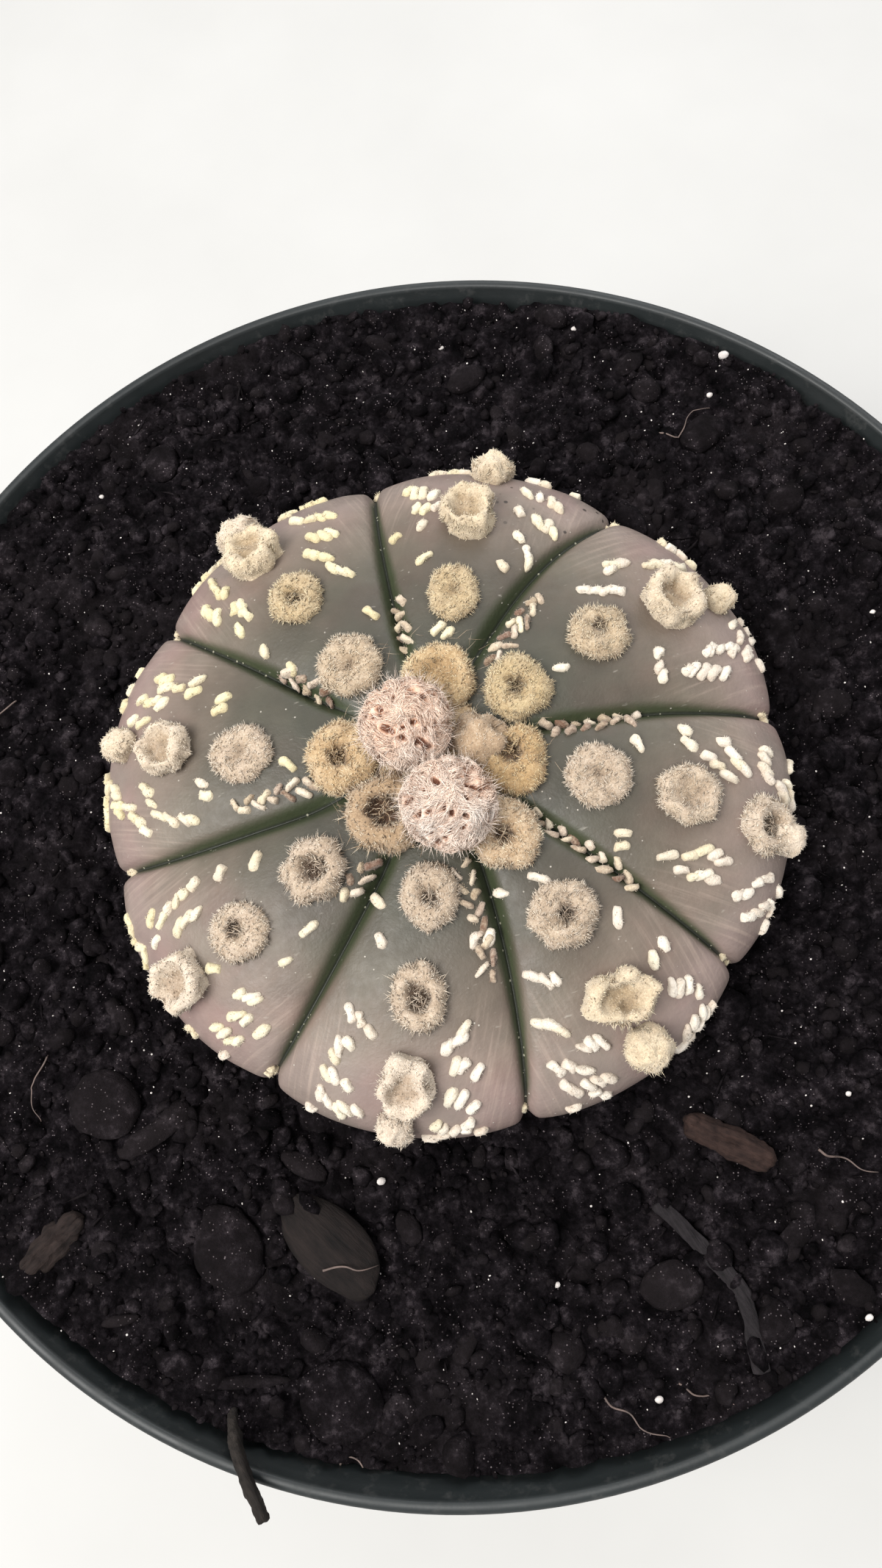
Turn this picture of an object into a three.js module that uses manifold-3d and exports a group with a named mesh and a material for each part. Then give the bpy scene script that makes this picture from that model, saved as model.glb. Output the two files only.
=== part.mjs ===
// A potted super kabuto star cactus (Astrophytum asterias). Millimetres, +Z up.
// The origin is the centre of the pot's flat base, on the surface that it stands on.
// The photograph looks along +Y and steeply down at the plant.

import * as THREE from "three";
import { mergeVertices } from "three/addons/utils/BufferGeometryUtils.js";
import Module from "manifold-3d";

const wasm = await Module();
wasm.setup();

// Driving dimensions of the pot
const potHeight = 100;
const potRimRadius = 75;
const potBaseRadius = 53;
const potWall = 1.2;
const potFloor = 2;
const rimBeadRadius = 0.85;
const rimBandHeight = 20;
const rimBandStep = 1.2;
const baseFillet = 2;
const drainHoleRadius = 4;
const drainHoleCircle = 38;
const drainHoles = 6;
const potSides = 56;

// Driving dimensions of the plant
const plantX = 1;
const plantY = 2.5;
const equatorZ = potHeight + 4.5;
const equatorRadius = 39.6;
const domeHeight = 12;
const domeSquareness = 2.3;
const crownDip = 2;
const crownDipRadius = 10;
const undersideDepth = 15;
const grooveAzimuths = [86, 40, -7, -51, -93, -136, -181, -227];
const ribNames = ["A", "B", "C", "D", "E", "F", "G", "H"];
const ribBulge = 0.9;
const creaseDepth = 0.9;
const creaseHalfWidth = 1.1;
const ribFadeStart = 7;
const ribFadeEnd = 16;

// Driving dimensions of the soil, which dips by the near rim
const soilDrop = 1.3;
const soilDip = 2.2;
const soilDipX = -24;
const soilDipY = -66;
const soilDipRadius = 20;
const soilRelief = 0.8;

// The clearance between two pieces that touch
const gap = 0.3;

const potRimInner = potRimRadius - 2 * rimBeadRadius;
const wallTopRadius = potRimInner + potWall - 0.4;
const bandZ = potHeight - rimBandHeight;
const soilLevel = potHeight - soilDrop;
const { degToRad: radians, lerp, smoothstep } = THREE.MathUtils;

// A seeded random draw, the same in each run
function seededRandom(seed) {
  let state = seed;
  return () => {
    state = (state + 0x6d2b79f5) | 0;
    let mixed = Math.imul(state ^ (state >>> 15), 1 | state);
    mixed = (mixed + Math.imul(mixed ^ (mixed >>> 7), 61 | mixed)) ^ mixed;
    return ((mixed ^ (mixed >>> 14)) >>> 0) / 4294967296;
  };
}

function toSolid(geometry) {
  const bare = geometry.clone();
  bare.deleteAttribute("normal");
  bare.deleteAttribute("uv");
  const merged = mergeVertices(bare, 1e-5);
  const vertProperties = new Float32Array(merged.attributes.position.array);
  const triVerts = new Uint32Array(merged.index.array);
  return new wasm.Manifold(new wasm.Mesh({ numProp: 3, vertProperties, triVerts }));
}

function toGeometry(solid) {
  const mesh = solid.getMesh();
  const geometry = new THREE.BufferGeometry();
  geometry.setAttribute("position", new THREE.BufferAttribute(mesh.vertProperties, 3));
  geometry.setIndex(new THREE.BufferAttribute(mesh.triVerts, 1));
  geometry.computeVertexNormals();
  return geometry;
}

function fuse(solids) {
  return solids.reduce((whole, piece) => whole.add(piece));
}

function meshOf(points, faces) {
  const geometry = new THREE.BufferGeometry();
  const numbers = points.flatMap((point) => point.toArray());
  geometry.setAttribute("position", new THREE.Float32BufferAttribute(numbers, 3));
  geometry.setIndex(faces);
  return geometry;
}

// A closed solid through rings of points, with one point that closes each end.
// The rings run counter-clockwise seen from the last end.
function loft(firstEnd, rings, lastEnd) {
  const count = rings[0].length;
  const points = [firstEnd, ...rings.flat(), lastEnd];
  const last = points.length - 1;
  const faces = [];
  for (let i = 0; i < count; i++) {
    const next = (i + 1) % count;
    faces.push(0, 1 + next, 1 + i);
    for (let ring = 0; ring < rings.length - 1; ring++) {
      const low = 1 + ring * count;
      const high = low + count;
      faces.push(low + i, low + next, high + next);
      faces.push(low + i, high + next, high + i);
    }
    faces.push(last - count + i, last - count + next, last);
  }
  return meshOf(points, faces);
}

// A turned solid round +Z, from a profile of [radius, height] pairs that starts and ends on the axis
function turned(profile, sides) {
  const points = profile.map(([radius, height]) => new THREE.Vector2(radius, height));
  return new THREE.LatheGeometry(points, sides).rotateX(Math.PI / 2);
}

// The pot's wall: its outer radius at a height, without the band under the rim
function wallRadius(height) {
  return lerp(potBaseRadius, wallTopRadius, height / potHeight);
}

// The inside of the pot from its floor up to the rim, set in by a clearance
function cavityProfile(inset) {
  const stepZ = bandZ - rimBandStep;
  const topZ = potHeight - 3 * rimBeadRadius;
  return [
    [wallRadius(potFloor) - potWall - inset, potFloor + inset],
    [wallRadius(bandZ) - potWall - rimBandStep - inset, stepZ],
    [wallRadius(topZ) - potWall - inset, topZ],
  ];
}

function makePot() {
  const beadZ = potHeight - rimBeadRadius;
  const beadR = potRimRadius - rimBeadRadius;
  const profile = [
    [0, 0],
    [potBaseRadius - baseFillet, 0],
    [potBaseRadius, baseFillet],
    [wallRadius(bandZ) - rimBandStep, bandZ - rimBandStep],
    [wallRadius(bandZ), bandZ],
    [wallRadius(beadZ), beadZ - rimBeadRadius],
  ];
  for (let i = 0; i <= 5; i++) {
    const turn = radians(-45 + 45 * i);
    profile.push([beadR + rimBeadRadius * Math.cos(turn), beadZ + rimBeadRadius * Math.sin(turn)]);
  }
  profile.push(...cavityProfile(0).reverse(), [0, potFloor]);
  let pot = toSolid(turned(profile, potSides));
  for (let i = 0; i < drainHoles; i++) {
    const hole = new THREE.CylinderGeometry(drainHoleRadius, drainHoleRadius, 4 * potFloor, 12);
    const turn = (2 * Math.PI * i) / drainHoles;
    hole.rotateX(Math.PI / 2).translate(drainHoleCircle, 0, 0).rotateZ(turn);
    pot = pot.subtract(toSolid(hole));
  }
  return pot;
}

// A rib's middle, and half its width, as turns round the plant's axis
function ribSpan(rib) {
  const from = grooveAzimuths[rib];
  const to = grooveAzimuths[rib + 1] ?? grooveAzimuths[0] - 360;
  return { middle: radians((from + to) / 2), half: radians((from - to) / 2) };
}

// The dome's meridian: t is 0 at the growing point, 1 at the equator and 2 under the plant
function meridian(t) {
  const angle = (1 - t) * (Math.PI / 2);
  const radius = equatorRadius * Math.abs(Math.cos(angle)) ** (2 / domeSquareness);
  const rise = Math.abs(Math.sin(angle)) ** (2 / domeSquareness);
  const dip = crownDip * Math.exp(-((radius / crownDipRadius) ** 2));
  const height = t <= 1 ? domeHeight * rise - dip : undersideDepth * Math.sin(angle);
  return new THREE.Vector2(radius, height);
}

function meridianNormal(t) {
  const step = 0.002;
  const along = meridian(t + step).sub(meridian(Math.max(t - step, 0)));
  return new THREE.Vector2(-along.y, along.x).normalize();
}

// Where the meridian of the upper side has a given radius
function meridianAt(radius) {
  const cosine = Math.min(radius / equatorRadius, 1) ** (domeSquareness / 2);
  return 1 - Math.acos(cosine) / (Math.PI / 2);
}

// How far the ribs' relief lies below the full dome, across is -1 to 1 from groove to groove
function ribRelief(radius, across, half, t) {
  const fadeIn = smoothstep(radius, ribFadeStart, ribFadeEnd);
  const fadeOut = t > 1 ? Math.max(2 - t, 0) : 1;
  const toGroove = (1 - Math.abs(across)) * half * radius;
  const crease = creaseDepth * Math.exp(-((toGroove / creaseHalfWidth) ** 2));
  return (ribBulge * Math.abs(across) ** 3 + crease) * fadeIn * fadeOut;
}

function skinPoint(t, rib, across) {
  const { middle, half } = ribSpan(rib);
  const azimuth = middle - across * half;
  const point = meridian(t);
  point.addScaledVector(meridianNormal(t), -ribRelief(point.x, across, half, t));
  return new THREE.Vector3(
    plantX + point.x * Math.cos(azimuth),
    plantY + point.x * Math.sin(azimuth),
    equatorZ + point.y,
  );
}

// The plant's skin from the taproot, as [radius, height] under the equator, to the growing point
const undersideSteps = [1.7, 1.45, 1.22, 1.08];
const domeSteps = [1, 0.93, 0.85, 0.75, 0.64, 0.52, 0.4, 0.29, 0.18, 0.08];
const acrossSteps = [-1, -0.9, -0.68, -0.35, 0, 0.35, 0.68, 0.9];
const taproot = [[2.5, -48], [5, -34], [7, -22]];
const taprootTip = -51;

function rootPoint([radius, height], rib, across) {
  const { middle, half } = ribSpan(rib);
  const azimuth = middle - across * half;
  const x = plantX + radius * Math.cos(azimuth);
  const y = plantY + radius * Math.sin(azimuth);
  return new THREE.Vector3(x, y, equatorZ + height);
}

function makeSkin() {
  const columns = ribNames.flatMap((name, rib) => acrossSteps.map((across) => [rib, across]));
  const rings = taproot.map((level) => columns.map(([rib, across]) => rootPoint(level, rib, across)));
  for (const t of [...undersideSteps, ...domeSteps]) {
    rings.push(columns.map(([rib, across]) => skinPoint(t, rib, across)));
  }
  rings.forEach((ring) => ring.reverse());
  const tip = new THREE.Vector3(plantX, plantY, equatorZ + taprootTip);
  const apex = new THREE.Vector3(plantX, plantY, equatorZ + domeHeight - crownDip);
  return toSolid(loft(tip, rings, apex));
}

// A place on the skin: how far out from the growing point, and how far across the rib's middle
// counter-clockwise, both in millimetres
function place(rib, out, across) {
  const { middle, half } = ribSpan(rib);
  const t = meridianAt(out);
  const azimuth = middle + across / out;
  const point = skinPoint(t, rib, THREE.MathUtils.clamp(-across / out / half, -1, 1));
  const slope = meridianNormal(t);
  const normal = new THREE.Vector3(slope.x * Math.cos(azimuth), slope.x * Math.sin(azimuth), slope.y);
  return { point, normal, azimuth };
}

// Stands a solid on the skin: its own +Z along the normal, its own +X outward, turned by a heading
function standOn(geometry, { point, normal, azimuth }, heading = 0) {
  const side = new THREE.Vector3(-Math.sin(azimuth), Math.cos(azimuth), 0);
  const outward = new THREE.Vector3().crossVectors(side, normal);
  const seat = new THREE.Matrix4().makeBasis(outward, side, normal).setPosition(point);
  geometry.applyMatrix4(new THREE.Matrix4().makeRotationZ(heading)).applyMatrix4(seat);
  return toSolid(geometry);
}

// Areoles: woolly pads, cups and knobs. A profile gives [radius, height] in parts of the pad's size.
const areoleShapes = {
  pad: { bottom: -0.3, rings: [[0.86, -0.3], [1, 0.12], [0.8, 0.34]], top: 0.12 },
  cup: { bottom: -0.35, rings: [[0.8, -0.35], [0.9, 0.45], [1, 0.72], [0.7, 0.76]], top: 0.3 },
  knob: { bottom: -0.6, rings: [[0.7, -0.6], [0.95, 0.45], [0.85, 1.2]], top: 1.85 },
};
const areoleSides = 10;
const areoleRuffle = 0.14;

function makePad(shape, size, random) {
  const { bottom, rings, top } = areoleShapes[shape];
  const ruffles = Array.from({ length: areoleSides }, () => 1 + areoleRuffle * (random() - 0.5));
  const solidRings = rings.map(([radius, height]) => ruffles.map((ruffle, i) => {
    const turn = (2 * Math.PI * i) / areoleSides;
    const reach = radius * size * ruffle;
    return new THREE.Vector3(reach * Math.cos(turn), reach * Math.sin(turn), height * size * (2 - ruffle));
  }));
  return loft(new THREE.Vector3(0, 0, bottom * size), solidRings, new THREE.Vector3(0, 0, top * size));
}

// Each rib's areoles from the crown outward: [shape, out, across, size]
const areoles = {
  A: [["pad", 18.5, 1, 3.3], ["cup", 29.5, 1.5, 3.3], ["knob", 38.3, 0.5, 2.5]],
  B: [["pad", 11.5, 0.5, 3.9], ["pad", 22.5, 1, 3.7], ["cup", 32.5, 0.5, 3.5], ["knob", 38, -1, 2.2]],
  C: [["pad", 17.5, 0.5, 3.7], ["pad", 27.5, 1, 3.5], ["cup", 36, 0.5, 3.3], ["knob", 39.3, -1.5, 2]],
  D: [["pad", 22.5, 1, 3.9], ["cup", 32, 1, 3.5], ["knob", 38.8, 0.5, 2.7]],
  E: [["pad", 16, 2, 3.4], ["pad", 26, 2, 3.5], ["cup", 35, 1.5, 3.3], ["knob", 39.4, 0.5, 2.2]],
  F: [["pad", 18, 2.5, 3.7], ["pad", 28, 2, 3.5], ["cup", 36.7, 2, 3.3]],
  G: [["pad", 21, 2.5, 3.6], ["cup", 30.5, 2, 3.2], ["knob", 37.8, 2, 2.3]],
  H: [["pad", 13.5, 1.5, 3.8], ["pad", 24.5, 1.5, 3.5], ["cup", 34, 2, 3.4], ["knob", 39.2, 1.5, 2.5]],
};

// Each rib's rows of flecks: [out, across] where a row starts, the same where it ends, and how many
const fleckRows = {
  A: [[35.5, 9.5, 33.5, 6.5, 2], [31.5, 8, 31.5, 5.5, 2], [28.5, 7, 28.5, 7, 1],
    [27.5, 9.5, 27.5, 9.5, 1], [23.5, 5.5, 23.5, 5.5, 1], [23.5, -4, 23.5, -4, 1],
    [28, -5.5, 25.5, -6.5, 2], [32, -4, 31, -8.5, 2], [35, -4.5, 35, -8.5, 2], [13.6, 1.8, 13.6, 0, 2],
    [17.5, -7, 17.5, -7, 1]],
  B: [[29.5, 8, 31.5, 8, 2], [33.5, 6.5, 36.5, 4.5, 2], [25.5, 6.5, 28, 4.5, 2], [17, 0, 17, 0, 1],
    [27.5, -3.5, 26.5, -6.5, 2], [29.5, -7, 33.5, -9, 2], [32.5, -5.5, 36, -7.5, 2],
    [37.5, -4.5, 37.5, -8.5, 2]],
  C: [[22, 5, 22, 5, 1], [27.5, 8, 27.5, 6.5, 2], [29.5, 6, 31.5, 4, 2], [31.5, 8, 33.5, 5.5, 2],
    [36, 9, 36, 6, 2], [38, 5.5, 38, 3, 2], [22, -4.5, 22.5, -6, 2], [27, -6, 27, -6, 1],
    [29.5, -4.5, 32.5, -4.5, 2], [29.5, -7, 32.5, -7, 2], [35, -7.5, 37.5, -5, 2],
    [37, -9.5, 38.5, -8, 2]],
  D: [[31.5, 6.5, 31.5, 8, 2], [26.5, 5.5, 26.5, 5.5, 1], [18, 1, 18, 1, 1], [26, -4.5, 27.5, -3.5, 2],
    [17.5, -3.5, 17.5, -3.5, 1], [30.5, -7.5, 31.5, -5.5, 2], [34.5, -5, 34.5, -3, 2],
    [34.5, 6, 36.5, 9, 3], [38.5, 5, 38.5, 7.5, 2], [35, -8.5, 36, -6, 2], [37.5, -9, 38, -4.5, 2]],
  E: [[21, 7, 21, 8.5, 2], [30.5, 5.5, 29.5, 7, 2], [32.5, 6.5, 33.5, 8.5, 2], [35.5, 6, 36.5, 8.5, 2],
    [38, 4.5, 38.5, 8, 2], [28.5, -5, 29.5, -3, 2], [31.5, -5, 33.5, -7, 2], [35, -7.5, 35.5, -5, 2],
    [37.5, -8, 38, -3.5, 3], [21, -3, 21, -3, 1], [17.5, -3.5, 17.5, -3.5, 1]],
  F: [[23, 7, 23, 7, 1], [27.5, 8, 27.5, 8, 1], [32.5, 6.5, 32, 8.5, 2], [34.5, 8, 34.5, 10.5, 2],
    [36.8, 7, 36.8, 10, 2], [22.5, -3, 22.5, -3, 1], [26, -4.5, 26, -4.5, 1], [29.5, -6, 31, -3, 2],
    [32.5, -6, 33, -3.5, 2], [35.5, -7, 35.5, -4.5, 2], [38, -4.5, 38, -2.5, 2], [33, 2.5, 33, 2.5, 1]],
  G: [[26, 6, 26, 7.5, 2], [31.5, 9.5, 27.5, 9.5, 3], [33, 6, 32, 7.5, 2], [35, 8, 33.5, 11, 2],
    [25, -2.5, 24.5, -4, 2], [29, -5, 29, -6.5, 2], [34.5, -7.5, 31.5, -6, 2], [35.5, -5, 32.5, -3.5, 2],
    [36.5, -2.5, 34.5, -2, 2], [37.5, 5.5, 37, 8.5, 2], [15.8, 3.4, 15.8, 3.4, 1]],
  H: [[18, -4, 18, -4, 1], [25.5, -4, 24, -5, 2], [29.5, -3, 27.5, -4.5, 2], [31.5, -5, 31, -7, 2],
    [35.5, -5, 34, -8.5, 3], [30.5, 7.5, 29, 6.5, 2], [28, 7, 27.5, 8.5, 2], [36, 8, 33, 7.5, 2],
    [34.5, 10.5, 32, 10, 2], [23, 8, 23, 8, 1], [18.5, 7, 18.5, 7, 1]],
};
const fleckLength = 2.5;
const fleckWidth = 1.3;
const fleckHeight = 0.5;
const fleckRoot = 0.5;

// Flecks along each groove, as a braid from near the crown outward: [start, how many]
const braids = [[14, 3], [13, 5], [13, 6], [14, 6], [14, 5], [15, 3], [14, 4], [14, 3]];
const braidStep = 2.1;
const braidSide = 0.75;
const braidLean = 35;
const braidLength = 2.1;
const braidWidth = 1.1;

// A raised oval fleck with a ridge along its top
function makeFleck(length, width) {
  const ring = [];
  for (let i = 0; i < 6; i++) {
    const turn = (i * Math.PI) / 3;
    ring.push(new THREE.Vector3(0.5 * length * Math.cos(turn), 0.58 * width * Math.sin(turn), -fleckRoot));
  }
  const ridge = [0.22 * length, -0.22 * length].map((x) => new THREE.Vector3(x, 0, fleckHeight));
  const faces = [0, 1, 6, 1, 2, 7, 1, 7, 6, 2, 3, 7, 3, 4, 7, 4, 5, 6, 4, 6, 7, 5, 0, 6];
  faces.push(0, 2, 1, 0, 3, 2, 0, 4, 3, 0, 5, 4);
  return meshOf([...ring, ...ridge], faces);
}

function makeFlecks(random) {
  const flecks = [];
  const taken = [];
  const add = (spot, heading, length, width, room) => {
    if (taken.some(({ point, reach }) => point.distanceTo(spot.point) < reach + room)) return;
    taken.push({ point: spot.point, reach: room });
    flecks.push(standOn(makeFleck(length, width), spot, heading));
  };
  ribNames.forEach((name, rib) => {
    for (const [shape, out, across, size] of areoles[name]) {
      taken.push({ point: place(rib, out, across).point, reach: size * (shape === "knob" ? 0.9 : 1) });
    }
  });
  ribNames.forEach((name, rib) => {
    for (const [out, across, outEnd, acrossEnd, count] of fleckRows[name]) {
      const rowHeading = Math.atan2(acrossEnd - across, outEnd - out);
      for (let i = 0; i < count; i++) {
        const share = count > 1 ? i / (count - 1) : 0;
        const spot = place(rib, lerp(out, outEnd, share), lerp(across, acrossEnd, share));
        const heading = (count > 1 ? rowHeading + Math.PI / 2 : 0) + 0.6 * (random() - 0.5);
        const size = 0.9 + 0.2 * random();
        add(spot, heading, fleckLength * size, fleckWidth * size, 0.62);
      }
    }
  });
  grooveAzimuths.forEach((groove, rib) => {
    const { half } = ribSpan(rib);
    const [start, count] = braids[rib];
    for (let i = 0; i < count; i++) {
      const out = start + i * braidStep;
      const side = i % 2 === 0 ? 1 : -1;
      const spot = place(rib, out, half * out - braidSide * (1 + side));
      add(spot, radians(-side * braidLean), braidLength, braidWidth, 0.5);
    }
  });
  return flecks;
}

function makeCactusBody() {
  const random = seededRandom(11);
  const pieces = [makeSkin()];
  ribNames.forEach((name, rib) => {
    for (const [shape, out, across, size] of areoles[name]) {
      pieces.push(standOn(makePad(shape, size, random), place(rib, out, across)));
    }
  });
  return fuse([...pieces, ...makeFlecks(random)]);
}

// The crown: lobes of wool round the growing point, [azimuth, out, size, pad shape]
const crownLobes = [
  [0, 0, 6.9, "pad"], [-90, 7, 4.8, "pad"], [68, 8.1, 3.7, "pad"], [-27, 8.6, 3.7, "pad"],
  [-68, 12.4, 3.7, "pad"], [-141, 8.7, 4.2, "pad"], [167, 9.6, 4, "pad"], [-10, 4.9, 2.9, "knob"],
];
// The buds: [azimuth, out, radius], and how high each one's middle is above the skin's apex
const buds = [[128, 3, 4.8], [-90, 7.4, 4.8]];
const budLift = 4.8;
const budFlattening = 0.92;
const budScales = 9;
const budScaleRelief = 0.07;
const crownFaceZ = equatorZ + domeHeight - crownDip;

function crownPoint(azimuth, out) {
  const turn = radians(azimuth);
  const height = meridian(meridianAt(out)).y;
  return new THREE.Vector3(plantX + out * Math.cos(turn), plantY + out * Math.sin(turn), equatorZ + height);
}

// A bud: a round body whose overlapping scales are raised by a formula, twisting up to the tip
function makeBud([azimuth, out, radius], swell) {
  const sides = 18;
  const rows = 9;
  const rings = [];
  for (let row = 1; row < rows; row++) {
    const tilt = Math.PI * (row / rows - 0.5);
    rings.push(Array.from({ length: sides }, (unused, i) => {
      const turn = (2 * Math.PI * i) / sides;
      const wave = Math.cos(budScales * turn + row * 2.4) * Math.cos(tilt);
      const reach = (radius + swell) * (1 - 2 * budScaleRelief * (swell > 0 ? 0 : 0.5 - 0.5 * wave));
      return new THREE.Vector3(
        reach * Math.cos(tilt) * Math.cos(turn),
        reach * Math.cos(tilt) * Math.sin(turn),
        reach * budFlattening * Math.sin(tilt),
      );
    }));
  }
  const pole = (radius + swell) * budFlattening * (swell > 0 ? 1 : 1 - budScaleRelief);
  const geometry = loft(new THREE.Vector3(0, 0, -pole), rings, new THREE.Vector3(0, 0, pole));
  const foot = crownPoint(azimuth, out);
  return toSolid(geometry.translate(foot.x, foot.y, crownFaceZ + budLift));
}

// The smooth top of the plant, raised by the clearance, which the crown's wool lies on
function makeCrownBed() {
  const clear = gap + 0.05;
  const outs = [19, 15, 12, 9, 6, 3];
  const profile = [[0, 0], [outs[0], 0]];
  for (const out of outs) profile.push([out, meridian(meridianAt(out)).y + clear]);
  profile.push([0, domeHeight - crownDip + clear]);
  return toSolid(turned(profile, 30).translate(plantX, plantY, equatorZ));
}

function makeCrownWool() {
  const random = seededRandom(23);
  const lobes = crownLobes.map(([azimuth, out, size, shape]) => {
    const point = crownPoint(azimuth, out);
    const geometry = makePad(shape, size, random);
    if (out === 0) geometry.scale(1, 1, 0.8);
    return toSolid(geometry.translate(point.x, point.y, point.z + gap));
  });
  let wool = fuse(lobes).subtract(makeCrownBed());
  for (const bud of buds) wool = wool.subtract(makeBud(bud, gap));
  return wool;
}

// Value noise on the soil's plane, from 0 to 1, smooth between the corners of its grid
function soilNoise(x, y, size) {
  const corner = (i, j) => {
    const mixed = Math.sin(i * 127.1 + j * 311.7 + size * 74.7) * 43758.5453;
    return mixed - Math.floor(mixed);
  };
  const column = Math.floor(x / size);
  const row = Math.floor(y / size);
  const u = smoothstep(x / size - column, 0, 1);
  const v = smoothstep(y / size - row, 0, 1);
  const near = lerp(corner(column, row), corner(column + 1, row), u);
  const far = lerp(corner(column, row + 1), corner(column + 1, row + 1), u);
  return lerp(near, far, v);
}

function soilHeight(x, y) {
  const toDip = Math.hypot(x - soilDipX, y - soilDipY) / soilDipRadius;
  const dip = soilDip * Math.exp(-(toDip ** 2));
  const relief = soilNoise(x, y, 14) + 0.7 * soilNoise(x, y, 6) - 0.85;
  return soilLevel - dip + soilRelief * relief;
}

// Loose pieces on the soil: middle, length, width, thickness and heading of each bark chip
const barkChips = [
  { x: 19.2, y: -45.4, length: 9.4, width: 3.4, thickness: 1.8, heading: -42, colour: 0x452c23 },
  { x: -56, y: -34.3, length: 7.4, width: 3.6, thickness: 1.9, heading: 28, colour: 0x3a2a22 },
  { x: -26, y: -43.3, length: 12.6, width: 7.4, thickness: 2, heading: -59, colour: 0x332a25 },
];
const twigPath = [[9.6, -49.2], [11.8, -53], [13.7, -56.8], [15.2, -60.4], [14.8, -64], [14.3, -67.8]];
const twigRadius = 0.8;

// The sliver's route over the rim: [distance from the pot's axis, height, azimuth]
const sliverPath = [[70.2, potHeight - 2.4, -125.6], [72.1, potHeight - 0.1, -124.4],
  [73.7, potHeight + 0.85, -123.2], [75.6, potHeight + 1.3, -121.7], [77.4, potHeight + 1.6, -120.4]];
const sliverWidth = 1.9;
const sliverThickness = 0.6;

// The largest clods: middle, length, width and heading of each, and the height of all of them
const largeClods = [
  { x: -37.3, y: -40.6, length: 9.2, width: 7.6, heading: -75 },
  { x: -29.3, y: -59.2, length: 9, width: 8, heading: -37 },
  { x: -47.3, y: -21.4, length: 8.4, width: 7.6, heading: -56 },
  { x: 8.4, y: -57.6, length: 6.7, width: 5, heading: -6 },
];
const largeClodHeight = 1.3;
const clodCount = 24;
const clodSeed = 5;

function makeSoil() {
  const sides = 52;
  const rows = 11;
  const reach = potRimRadius + 3;
  const rings = [];
  const ringAt = (radius, height) => Array.from({ length: sides }, (unused, i) => {
    const turn = (2 * Math.PI * i) / sides;
    const x = radius * Math.cos(turn);
    const y = radius * Math.sin(turn);
    return new THREE.Vector3(x, y, height ?? soilHeight(x, y));
  });
  rings.push(ringAt(reach, 0));
  for (let row = 0; row < rows; row++) rings.push(ringAt(reach * (1 - row / rows)));
  let soil = toSolid(loft(new THREE.Vector3(0, 0, 0), rings, new THREE.Vector3(0, 0, soilHeight(0, 0))));
  soil = fuse([soil, ...makeClods()]);

  const cavity = cavityProfile(gap);
  const ceiling = potHeight + soilDrop;
  const inside = [[0, potFloor + gap], ...cavity, [cavity[2][0], ceiling], [0, ceiling]];
  return soil.intersect(toSolid(turned(inside, potSides))).subtract(makePlantHole());
}

// The plain hole that the plant's underside and taproot stand in
function makePlantHole() {
  const clear = gap + 0.1;
  const profile = [[0, taprootTip - clear]];
  for (const [radius, height] of taproot) profile.push([radius + clear, height]);
  for (const t of undersideSteps) {
    const point = meridian(t).addScaledVector(meridianNormal(t), clear);
    profile.push([point.x, point.y]);
  }
  profile.push([equatorRadius + clear, 0], [equatorRadius + clear, 2], [0, 2]);
  return toSolid(turned(profile, 36).translate(plantX, plantY, equatorZ));
}

function clearOfLoosePieces(x, y, room) {
  const spots = [...barkChips, ...largeClods].map((piece) => [piece.x, piece.y, 0.6 * piece.length]);
  for (const [twigX, twigY] of twigPath) spots.push([twigX, twigY, 2.5]);
  const [radius, , azimuth] = sliverPath[0];
  spots.push([radius * Math.cos(radians(azimuth)), radius * Math.sin(radians(azimuth)), 3]);
  return spots.every(([spotX, spotY, reach]) => Math.hypot(x - spotX, y - spotY) > reach + room);
}

function makeClods() {
  const random = seededRandom(clodSeed);
  const clods = [];
  while (clods.length < clodCount) {
    const turn = 2 * Math.PI * random();
    const radius = 42 + 26 * Math.sqrt(random());
    const size = 1.2 + 1.5 * random() ** 2;
    const x = radius * Math.cos(turn);
    const y = radius * Math.sin(turn);
    const geometry = new THREE.IcosahedronGeometry(size, 0);
    geometry.rotateX(6 * random()).rotateZ(6 * random()).scale(1.25, 0.9 + 0.3 * random(), 0.7);
    geometry.rotateZ(6 * random()).translate(x, y, soilHeight(x, y));
    if (clearOfLoosePieces(x, y, size)) clods.push(toSolid(geometry));
  }
  for (const { x, y, length, width, heading } of largeClods) {
    const geometry = new THREE.IcosahedronGeometry(1, 1);
    geometry.scale(0.5 * length, 0.5 * width, largeClodHeight).rotateZ(radians(heading));
    clods.push(toSolid(geometry.translate(x, y, soilHeight(x, y))));
  }
  return clods;
}

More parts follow.
